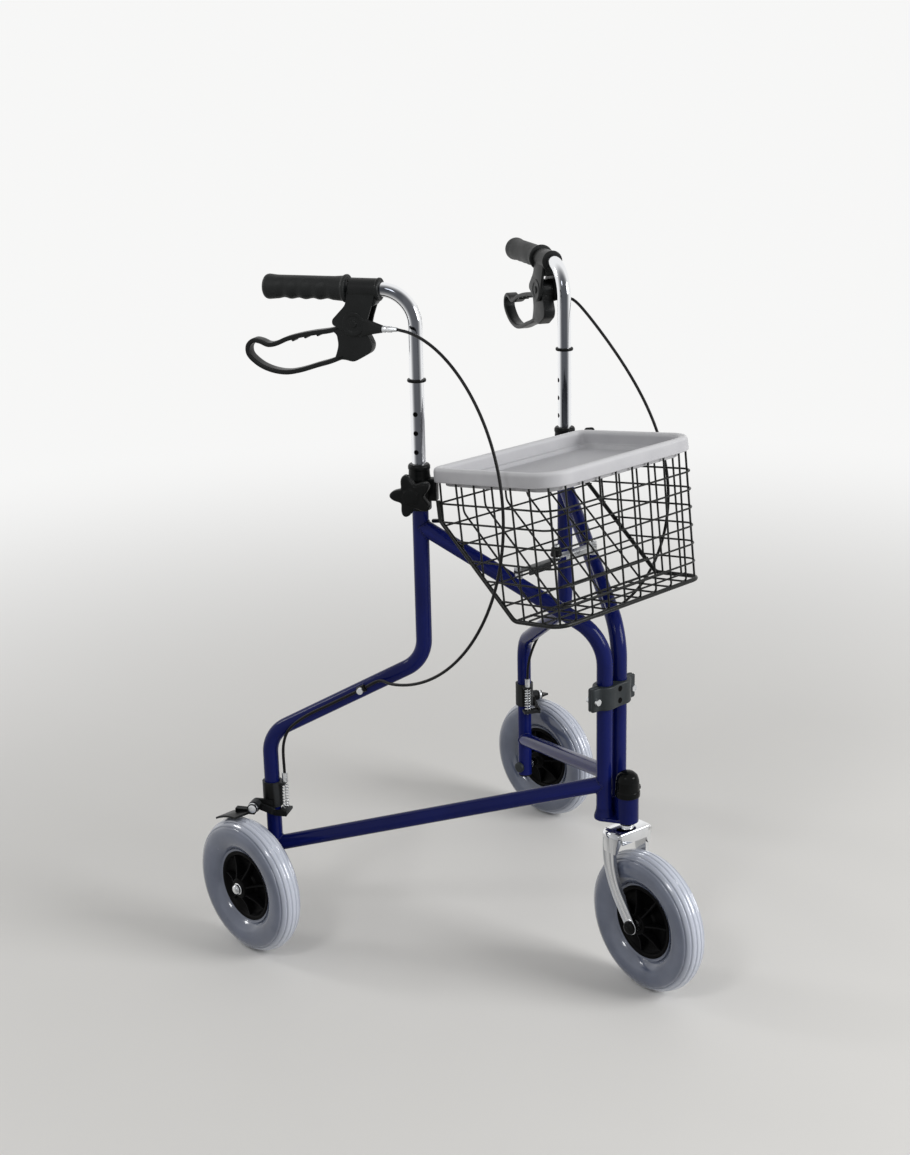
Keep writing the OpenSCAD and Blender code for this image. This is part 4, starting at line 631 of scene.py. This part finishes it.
for s, hand in HANDS:
    out_way = heading(on_side, s, (1, 0, 0))
    spot = on_side(s, (0, UPRIGHT_R, 0))
    knob_at = on_side(s, (0, UPRIGHT_R, KNOB_Z))
    piece(hand + "_clamp_sleeve",
          [turned(sleeve, spot), turned(boss, knob_at, out_way, 48),
           slab(fillet(lug, 2.0)[:-1], -7, 7, 1.4, lambda g: on_side(s, g[..., [2, 0, 1]]))],
          black_moulding, hand + "_frame", [hand + "_clamp"])
    piece(hand + "_star_knob",
          [slab(star, 32, 47, 4.2, lambda g: on_side(s, g[..., [2, 0, 1]] + (0, UPRIGHT_R, KNOB_Z)), 6),
           turned(button, knob_at, out_way, 40), turned(collar, knob_at, out_way, 40),
           turned(stud, knob_at, out_way, 20)],
          black_moulding, hand + "_knob_body", [hand + "_knob"])
    # Painted shade: each height hole is a near-black dish lying on the tube, standing for the shade inside the hole.
    holes = [(on_handle(s, np.stack((f * sunk, over, KNOB_Z + k * HOLE_PITCH + lift), -1)), True, False)
             for k in (2, 3, 4) for f in (-1, 1)]
    piece(hand + "_stem_tube", [carried(on_handle(s, line), circle(STEM_R, 40), out_way)], stem_chrome,
          hand + "_handle", [hand + "_stem"])
    piece(hand + "_stem_ring", [turned(stem_ring, spot)], black_moulding, hand + "_handle")
    piece(hand + "_stem_hole_shade", holes, painted_pit_shade, hand + "_handle")

# Grips, brake levers and their brackets
# Soft black rubber grips with finger waves are pushed on to the tube ends. In front of each a moulded bracket
# wraps the tube, carries the looped strap lever on a pin between two cheeks, and takes the cable's adjuster.
LEVER_BACK, LEVER_Z = 81.0, 909.0
grip_rubber = finish("grip_rubber", (0.006, 0.007, 0.0072), (0.0105, 0.012, 0.0122), 38.0, (0.40, 0.54), 0.25, 1300.0,
                     shine=0.2)
lever_black = finish("lever_black", (0.0048, 0.0056, 0.0058), (0.0088, 0.0098, 0.0102), 48.0, (0.28, 0.40), 0.12, 950.0,
                     edge=(0.032, 0.034, 0.035), shine=0.16)
grip_line = fillet([(91, 9.7), (91, 17.6), (92.2, 18.6), (95, 18.4), (97.2, 16.6), (110, 15.6), (191, 15.6),
                    (203, 16.8), (206.6, 15.6), (209, 12.2), (209.3, 0)], 1.8)
GRIP_FROM, GRIP_TO, WAVE_FROM, WAVE_TO, WAVES = 91.0, 209.2, 110, 191, 4
long = np.unique(np.concatenate((grip_line[:, 0], np.arange(WAVE_FROM, WAVE_TO + 1, 1.5))))
long = long[(long > GRIP_FROM) & (long < GRIP_TO)]
past = grip_line[:, 0] > GRIP_FROM
walk = np.vstack((grip_line[~past], np.stack((long, np.interp(long, *grip_line[past].T)), -1), grip_line[-1:]))
a = around(64)
wave = 0.5 - 0.5 * np.cos((walk[:, 0] - WAVE_FROM) / (WAVE_TO - WAVE_FROM) * 2 * WAVES * np.pi)
wave = np.where((walk[:, 0] > WAVE_FROM) & (walk[:, 0] < WAVE_TO), wave, 0)
grip_r = walk[:, 1:] - 2.2 * wave[:, None] * np.clip(np.cos(a + np.radians(38)), 0, 1)[None] ** 0.6
grip = np.stack((grip_r * np.cos(a), np.broadcast_to(walk[:, :1], grip_r.shape), HANDLE_Z + grip_r * np.sin(a)), -1)
loop = np.array([(98, -50), (118, -55.5), (140, -59), (160, -63), (180, -68.5), (195, -75), (207, -77), (218, -73),
                 (228, -72), (236, -79), (236, -90), (228, -99), (215, -107), (198, -112), (180, -113), (160, -109),
                 (138, -102), (118, -96), (98, -88)], float)


def smooth_line(points, count):
    """Curve through points by cubic pieces whose slope at each point is half the step between its neighbours."""
    points = np.asarray(points, float)
    slope = np.gradient(points, axis=0)
    at = np.linspace(0, len(points) - 1, count)
    i = np.minimum(at.astype(int), len(points) - 2)
    t = (at - i)[:, None]
    return ((2 * t ** 3 - 3 * t ** 2 + 1) * points[i] + (t ** 3 - 2 * t ** 2 + t) * slope[i]
            + (3 * t ** 2 - 2 * t ** 3) * points[i + 1] + (t ** 3 - t ** 2) * slope[i + 1])


loop_line = smooth_line(loop, 110)
strap_box = fillet([(0, -3.1), (8.5, -3.1), (8.5, 3.1), (-8.5, 3.1), (-8.5, -3.1), (0, -3.1)], 2.2)[:-1]
lever_plate = fillet([(71, -38), (66, -54), (57, -72), (60, -82), (84, -95.5), (97, -92.5), (112, -93.6), (108, -84),
                      (105, -73), (107, -60), (112, -56), (112, -51.5), (100, -46), (92, -38), (71, -38)], 5.0)[:-1]
NUBS_AT = ((134, -61), (152, -64.5), (170, -69))
band = fillet([(45.5, 9.7), (45.5, 14.0), (46.6, 15.2), (49.2, 15.2), (50, 14.3), (87, 14.3), (88, 13.4),
               (88, 9.7)], 0.8)
cheek = fillet([(70, 955), (90.5, 955), (91, 934), (111, 913.5), (111, 907), (96, 899), (90, 893), (81, 891.5),
                (70, 895), (63.5, 904), (61, 916), (49.5, 949), (50, 955), (70, 955)], 6.0)[:-1]
web = hull_round([(59, 940, 9), (83, 940, 9)], 80)
face = fillet([(12.6, 15.8), (13.6, 15.6), (14.0, 14.6), (14.0, 11.0), (13.3, 10.2), (13.3, 5.4), (14.6, 5.0),
               (15.0, 3.8), (15.0, 0)], 0.5)
t = np.linspace(0, 1, 9)
horn = np.stack((10.5 + 4.0 * t, 72 - 32 * t, 906 - 2.0 * t), -1)
horn_half = np.stack((2.4 + 2.6 * t, 14.5 - 9.5 * t ** 0.8), -1)
barrel = fillet([(0, 0), (0, 4.4), (4.6, 4.5), (5.0, 3.5), (6.2, 3.5), (6.6, 4.1), (13.0, 4.1), (13.6, 3.2),
                 (20, 2.9), (20, 0)], 0.4, 4)
disc = fillet([(-8.4, 0), (-8.4, 15), (8.4, 15), (8.4, 0)], 1.0)
nub = fillet([(-8, 0), (-8, 2.0), (8, 2.0), (8, 0)], 1.0)
for s, hand in HANDS:
    body = hand + "_handle"
    out_way = heading(on_handle, s, (1, 0, 0))
    back_way = heading(on_handle, s, (0, 1, 0))
    piece(hand + "_grip_sleeve", [(on_handle(s, grip), True, False)], grip_rubber, body, [hand + "_grip"],
          sharp=60.0)
    pivot = on_handle(s, (0, LEVER_BACK, LEVER_Z))
    flat = lambda g: on_handle(s, g[..., [2, 0, 1]])
    piece(hand + "_lever_bracket_shell",
          [turned(band, on_handle(s, (0, 0, HANDLE_Z)), back_way, 56), slab(cheek, 8.95, 13.0, 1.3, flat),
           slab(cheek, -13.0, -8.95, 1.3, flat), slab(web, -9.5, 9.5, 1.0, flat),
           turned(face, pivot, out_way, 48), turned(face, pivot, -out_way, 48),
           carried(on_handle(s, horn), circle(1.0, 28) * horn_half[:, None], out_way)],
          lever_black, body, [hand + "_lever_bracket"])
    piece(hand + "_cable_barrel", [turned(barrel, on_handle(s, (14.5, 39.6, 904)), -back_way, 28)], zinc_plate, body,
          [hand + "_adjuster"])
    strap = on_handle(s, np.column_stack((np.zeros(len(loop_line)), loop_line + (0, HANDLE_Z))))
    nubs = [turned(nub, on_handle(s, (0, b, HANDLE_Z + z)), out_way, 16) for b, z in NUBS_AT]
    piece(hand + "_brake_lever",
          [carried(strap, strap_box, out_way),
           slab(lever_plate + (0, HANDLE_Z), -8.5, 8.5, 1.6, flat),
           turned(disc, pivot, out_way, 48), *nubs],
          lever_black, hand + "_lever_body", [hand + "_lever"], sharp=50.0)

# Brake cables
# A 4 mm black sheathed cable loops forward from each lever's adjuster, comes back to a clip on the sloping tube
# and follows it down to the brake. It is held at both ends and drawn in one fixed shape.
cable_black = finish("cable_sheath", (0.003, 0.003, 0.0035), (0.006, 0.006, 0.0065), 120.0, (0.3, 0.42), 0.08, 1400.0,
                     shine=0.15)
SLOPE = (CRANK_Z - SLOPE_Z) / (REAR_R - UPRIGHT_R)
CLIP_OUT, CLIP_R = 14.1, 312.0
CLIP_Z = CRANK_Z - (CLIP_R - UPRIGHT_R) * SLOPE
CABLE_R, SHEATH_R = REAR_R - 19.5, 2.1
run_down = [(CLIP_OUT, CLIP_R + d, CLIP_Z + 3 - d * SLOPE) for d in (24, 48, 76, 105)]
run_down += [(CLIP_OUT, CABLE_R - 25, 343), (CLIP_OUT - 2.4, CABLE_R - 12, 328), (CLIP_OUT - 6.6, CABLE_R - 4.6, 311),
             (3.6, CABLE_R - 1, 294), (0.9, CABLE_R, 277), (0, CABLE_R, 260)]
for s, hand, bow, skew in ((1, "left", 200.0, 0.65), (-1, "right", 215.0, 0.1)):
    t = np.linspace(0, 1, 29)
    f = ((1 + np.cos(np.pi * t)) / 2)[:, None]
    high, low = on_handle(s, (14.5, 19.5, 904)), on_side(s, (CLIP_OUT, CLIP_R, CLIP_Z + 3))
    free = f * high + (1 - f) * low - np.array((0, 1.0, 0)) * bow * np.sin(np.pi * t)[:, None] * (1 - skew * f ** 4)
    route = smooth_line(np.vstack((free, on_side(s, run_down))), 230)
    sheath = piece(hand + "_cable_sheath", [carried(route, circle(SHEATH_R, 12), (1, 0, 0))], cable_black,
                   hand + "_frame", [hand + "_cable"], sharp=60.0, ride=False)
    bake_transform(sheath)
    along = heading(on_side, s, (0, 1, -SLOPE))
    piece(hand + "_cable_clip",
          [turned(fillet([(-6, 2.2), (-6, 5.2), (6, 5.2), (6, 2.2)], 0.8),
                  on_side(s, (CLIP_OUT, CLIP_R + 26, CLIP_Z + 3 - 26 * SLOPE)), along, 28)],
          black_moulding, hand + "_frame")

# Rear brakes
# On each rear post a black steel carrier holds the cable's end and the pivot of a cranked arm. The cable pulls the
# arm's foot up against a zinc spring, and the curved shoe at its other end comes down on the tyre.
black_steel = finish("black_steel", (0.0035, 0.0038, 0.004), (0.0075, 0.008, 0.0082), 65.0, (0.30, 0.44), 0.08, 800.0,
                     edge=(0.03, 0.032, 0.034), shine=0.09)
PIVOT_R, PIVOT_Z = REAR_R + 20.0, 214.0
COIL_R, TURNS, COIL_LOW, COIL_L = 4.5, 8, 205.75, 35.5
t = np.linspace(0, TURNS, TURNS * 24 + 1)
helix = np.stack((COIL_R * np.cos(2 * np.pi * t), CABLE_R + COIL_R * np.sin(2 * np.pi * t),
                  COIL_LOW + COIL_L * t / TURNS), -1)
bolt = fillet([(29.8, 0), (29.8, 7.8), (32.6, 7.8), (34.2, 6.6), (35.0, 3.4), (35.2, 0)], 0.7)
pull = np.vstack(([(198, 0)], [(z, 0.8) for z in np.linspace(198, 247, 15)], [(247, 0)]))
for s, hand in HANDS:
    dress(hand + "_brake_carrier", black_steel)
    dress(hand + "_brake_arm", black_steel)
    dress(hand + "_fasteners", zinc_plate)
    coil = piece(hand + "_brake_coil", [carried(on_side(s, helix), circle(0.65, 8), (0, 0, 1))], zinc_plate,
                 hand + "_frame", [hand + "_brake_spring"], sharp=60.0)
    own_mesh(coil)
    piece(hand + "_brake_bolt", [turned(bolt, on_side(s, (0, PIVOT_R, PIVOT_Z)), heading(on_side, s, (1, 0, 0)), 28)],
          zinc_plate, hand + "_frame")
    inner = piece(hand + "_brake_wire", [turned(pull, on_side(s, (0, CABLE_R, 0)), steps=12)], zinc_plate,
                  hand + "_frame", ride=False)
    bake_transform(inner)

# Folding brace
# Two flat steel links turn on bolts on the rising tubes and meet under a knob in the middle: one is coloured dark,
# the other bright zinc. The knob is black plastic with a plated screw end.
BRACE_Y, BRACE_Z, BRACE_HALF = -71.168, 580.16, 74.759
dark_link_finish = finish("dark_link_steel", (0.010, 0.011, 0.012), (0.022, 0.024, 0.026), 70.0, (0.26, 0.40), 0.08, 700.0,
                   edge=(0.10, 0.10, 0.105), shine=0.3)
for s, hand, low, look_of, slot in ((-1, "right", 0.4, dark_link_finish, "dark_steel"), (1, "left", 3.3, zinc_plate, "zinc")):
    bar = hull_round([(0, BRACE_Y, 6), (s * BRACE_HALF, BRACE_Y, 6)], 64)
    lip = np.array([(16, -7.6), (BRACE_HALF - 16, -7.6), (BRACE_HALF - 16, 2.3), (16, 2.3), (16, 0)]) * (s, 1)
    piece(hand + "_brace_link",
          [slab(bar, BRACE_Z + low, BRACE_Z + low + 2.5, 0.6, lambda g: g),
           slab(fillet(np.vstack((lip, lip[:1])), 2.2)[:-1], -6.1, -4.1, 0.6,
                lambda g: np.stack((g[..., 0], BRACE_Y + g[..., 2], BRACE_Z + low + g[..., 1]), -1))], look_of,
          hand + "_link_body", [hand + "_link"])
knob_foot = np.array((0, BRACE_Y, BRACE_Z + 5.9))
brace_knob = fillet([(0, 0), (0, 7.7), (1.6, 8.0), (3.4, 8.0), (4.2, 7.4), (11.6, 6.6), (13.2, 5.4), (13.2, 0)], 0.8)
screw_end = fillet([(13.1, 0), (13.1, 4.7), (15.4, 4.7), (16.6, 3.6), (17.0, 0)], 0.7)
piece("brace_knob_body", [turned(brace_knob, knob_foot, steps=40)], black_moulding, "left_link_body",
      ["brace_knob"])
piece("brace_screw_end", [turned(screw_end, knob_foot, steps=32)], zinc_plate, "left_link_body")

# Wire basket
# Bent and welded from black-enamelled wire: thick rods run down both sloped sides, from a short stub over the bend,
# and round the floor's edge, thin wires cross them in layers, and two hooks at the back rest on the rising tubes.
BASKET_Y, BASKET_Z, TILT = -128.598, 541.912, np.radians(7.0)
FLOOR_L, BASKET_H, SLOPE_L, SLOPE_H, LEAN = 81.0, 174.0, 118.109, 126.0, 4.0
HALF_LOW, HALF_TOP, RIM_H = 142.5, 144.01, 180.2
enamel = finish("black_wire_enamel", (0.0035, 0.004, 0.004), (0.0075, 0.0085, 0.008), 55.0, (0.24, 0.38), 0.10, 800.0,
                shine=0.2)


def on_basket(points):
    """Row frame place of points given as (across, forward, height) of the basket, which leans nose up."""
    x, f, h = np.moveaxis(np.asarray(points, float), -1, 0)
    return np.stack((x, BASKET_Y - f * np.cos(TILT) + h * np.sin(TILT),
                     BASKET_Z + f * np.sin(TILT) + h * np.cos(TILT)), -1)


def half_wide(h):
    """Half width of the basket at a height: its sides open out evenly."""
    return HALF_LOW + (HALF_TOP - HALF_LOW) * h / BASKET_H


def front_at(h):
    """How far forward the basket's front wall stands at a height."""
    return FLOOR_L + LEAN * h / BASKET_H


def back_at(h):
    """How far forward its back stands at a height: sloped up to the bend, then upright."""
    return -SLOPE_L * min(h / SLOPE_H, 1.0)


def wire(corners, radius, bend=0.0, side=(1, 0, 0), sides=8):
    """Round wire through corners in the basket's own frame, with each inner corner bent to a radius."""
    line = rounded_path(corners, [bend] * (len(corners) - 2), 15.0) if len(corners) > 2 else np.asarray(corners, float)
    return carried(on_basket(line), circle(radius, sides), side)


WIRE, FLOOR_WIRE_H, PITCH = 1.4, 0.6, 33
top_f, over_floor = front_at(BASKET_H), FLOOR_WIRE_H + 2 * WIRE
wires = []
for i in range(1, 9):
    x = 2 * i / 9 - 1
    wires.append(wire([(x * HALF_TOP, top_f - WIRE, RIM_H), (x * HALF_LOW, FLOOR_L - WIRE, FLOOR_WIRE_H),
                       (x * HALF_LOW, -1, FLOOR_WIRE_H)], WIRE, 6.0))
for j in range(1, 7):
    h = BASKET_H * j / 7
    wires.append(wire([(-half_wide(h), back_at(h), h), (-half_wide(h), front_at(h) + WIRE, h),
                       (half_wide(h), front_at(h) + WIRE, h), (half_wide(h), back_at(h), h)], WIRE, 24.0, (0, 0, 1)))
for s in (-1, 1):
    for f in np.arange(FLOOR_L - PITCH, 16 - SLOPE_L, -PITCH):
        low = max(0.0, -f * SLOPE_H / SLOPE_L)
        wires.append(wire([(s * (half_wide(low) - 2 * WIRE), f, low), (s * (HALF_TOP - 2 * WIRE), f, RIM_H)], WIRE,
                          side=(0, 1, 0)))
    wires.append(wire([(s * (HALF_LOW - 7), FLOOR_L - 7, FLOOR_WIRE_H), (s * (HALF_TOP - 8.8), top_f - 8.8, RIM_H)],
                      1.5, side=(0, 1, 0)))
for f in FLOOR_L / 3, 2 * FLOOR_L / 3:
    wires.append(wire([(-HALF_LOW, f, over_floor), (HALF_LOW, f, over_floor)], WIRE, side=(0, 1, 0)))
IN_F, IN_H, BACK_H, BACK_PITCH, UPPER_H = 2.96, 2.78, 54.6, 25.2, 150.0
for i in range(1, 7):
    x = half_wide(SLOPE_H) * (2 * i / 7 - 1)
    wires.append(wire([(x, IN_F, IN_H), (x, IN_F - SLOPE_L, IN_H + SLOPE_H), (x, IN_F - SLOPE_L, RIM_H)], WIRE, 14.0))
for h in [BACK_H + (j + 0.5) * BACK_PITCH for j in range(-2, 3)] + [UPPER_H]:
    wide, f, lift = half_wide(h), back_at(h) + IN_F, h + IN_H * (h < SLOPE_H)
    wires.append(wire([(-wide, f, lift), (wide, f, lift)], WIRE, side=(0, 1, 0)))
piece("basket_wires", wires, enamel, "basket",
      ["basket_front", "basket_left", "basket_right", "basket_back", "basket_floor"], sharp=60.0)

rods = [wire([(-HALF_LOW, 0, 0), (HALF_LOW, 0, 0)], 1.7, side=(0, 1, 0), sides=12),
        wire([(-HALF_LOW, 30, 0), (-HALF_LOW, FLOOR_L, 0), (HALF_LOW, FLOOR_L, 0), (HALF_LOW, 30, 0)], 3.0, 20.0,
             (0, 0, 1), 14)]
HOOK_R, HOOK_Z, STUB = 232.0, 645.99, 27.0
hook_tip = on_side(1, (0, HOOK_R, HOOK_Z))
for s in (-1, 1):
    bend_at = (s * half_wide(SLOPE_H), -SLOPE_L, SLOPE_H)
    rods.append(wire([(s * HALF_TOP, -SLOPE_L, SLOPE_H + STUB), bend_at, (s * HALF_LOW, 0, 0), (s * HALF_LOW, 34, 0)],
                     3.0, 14.0, sides=14))
    rods.append(wire([(s * (half_wide(SLOPE_H) - 2.5), 2.5 - SLOPE_L, SLOPE_H - 6),
                      (s * (HALF_TOP - 3.5), 3.5 - SLOPE_L, RIM_H)], WIRE, side=(0, 1, 0)))
    rods.append(carried((on_basket(bend_at), hook_tip * (s, 1, 1)), circle(2.9, 12), (1, 0, 0)))
rim = [(0, -SLOPE_L, RIM_H), (-HALF_TOP, -SLOPE_L, RIM_H), (-HALF_TOP, top_f, RIM_H)]
rim = rounded_path(rim + [(-x, f, h) for x, f, h in rim[::-1]], (12.0, 32.0, 32.0, 12.0), 8.0)[:-1]
rods.append(carried(on_basket(rim), circle(2.0, 12), (0, 0, 1), closed=True))
piece("basket_rods", rods, enamel, "basket", sharp=60.0)

# Tray
# A loose moulding of pale grey plastic over the basket's rim: a rounded band hides the rim rod in a channel, a broad
# lip rolls over it, and a deep pan has a small step above its grained floor. Its grey is painted darker in the pan than
# on the lip, a painted shade for the pan's depth.
TRAY_HALF, TRAY_FRONT, TRAY_BACK, TRAY_LOW = 150.6, 93.0, -126.6, 177.4
PAN_SHADE_H, SHADE_END_H = 15.0, 20.4
tray_grey = finish("pale_grey_tray", (0.405, 0.405, 0.425), (0.445, 0.445, 0.462), 30.0, (0.34, 0.48), 0.18, 1500.0,
                   shine=0.3)
tree = tray_grey.node_tree
where = tree.nodes.new("ShaderNodeTexCoord").outputs["Object"]
height = worked(tree, "VectorMath", "DOT_PRODUCT", (where, (0, np.sin(TILT), np.cos(TILT))))
base = BASKET_Y * np.sin(TILT) + BASKET_Z * np.cos(TILT) + TRAY_LOW
# Painted shade: the grey is darker low in the pan and paler up on the lip, by height in the tray's tilted frame.
toward(tree, ranged(tree, height, (base + PAN_SHADE_H) * MM, (base + SHADE_END_H) * MM), (0.60, 0.60, 0.615))
tray_wall = fillet([(36, -6.8), (16.4, -6.8), (14.0, -5.4), (13.2, 16.4), (3.4, 16.6), (2.6, 14), (2.4, 0.9),
                    (0.7, 0.9), (0, 2.1), (0.4, 13.8), (1.2, 17.6), (3.4, 19.8), (6.4, 20.2), (10.2, 19.8),
                    (12.8, 18.4), (14.0, 15.4), (15.4, 3.4), (16.4, 2.4), (18.8, 2.0), (19.6, 1.1), (20.6, -1.8),
                    (22.6, -3.6), (36, -3.6)], 1.6, 5)


def tray_rings(profile, corner, sides=14):
    """Rings of a rectangle whose front and back corners have the two radii of corner: each (inset, height) row of
    profile draws the outline in by inset, and the radii shrink with it."""
    a = np.linspace(0, np.pi / 2, sides)
    arc = np.concatenate([np.stack((np.cos(a + q), np.sin(a + q)), -1) for q in (0, np.pi / 2, np.pi, 1.5 * np.pi)])
    way = np.repeat(np.array([(1, 1), (-1, 1), (-1, -1), (1, -1)], float), sides, 0)
    inset, height = profile[:, :1, None], profile[:, 1]
    radius = np.maximum(np.where(way[:, 1:] > 0, *corner) - inset, 8.0)
    half = np.array((TRAY_HALF, (TRAY_FRONT - TRAY_BACK) / 2))
    flat = way * (half - inset - radius) + arc * radius + np.array((0, (TRAY_FRONT + TRAY_BACK) / 2))
    return np.concatenate((flat, np.broadcast_to(height[:, None, None], flat.shape[:2] + (1,))), -1)


tray_rows = on_basket(tray_rings(tray_wall, (44.0, 20.0)) + (0, 0, TRAY_LOW))
piece("tray_moulding", [(tray_rows, True, True)], tray_grey, "tray_body", ["tray"], sharp=50.0)
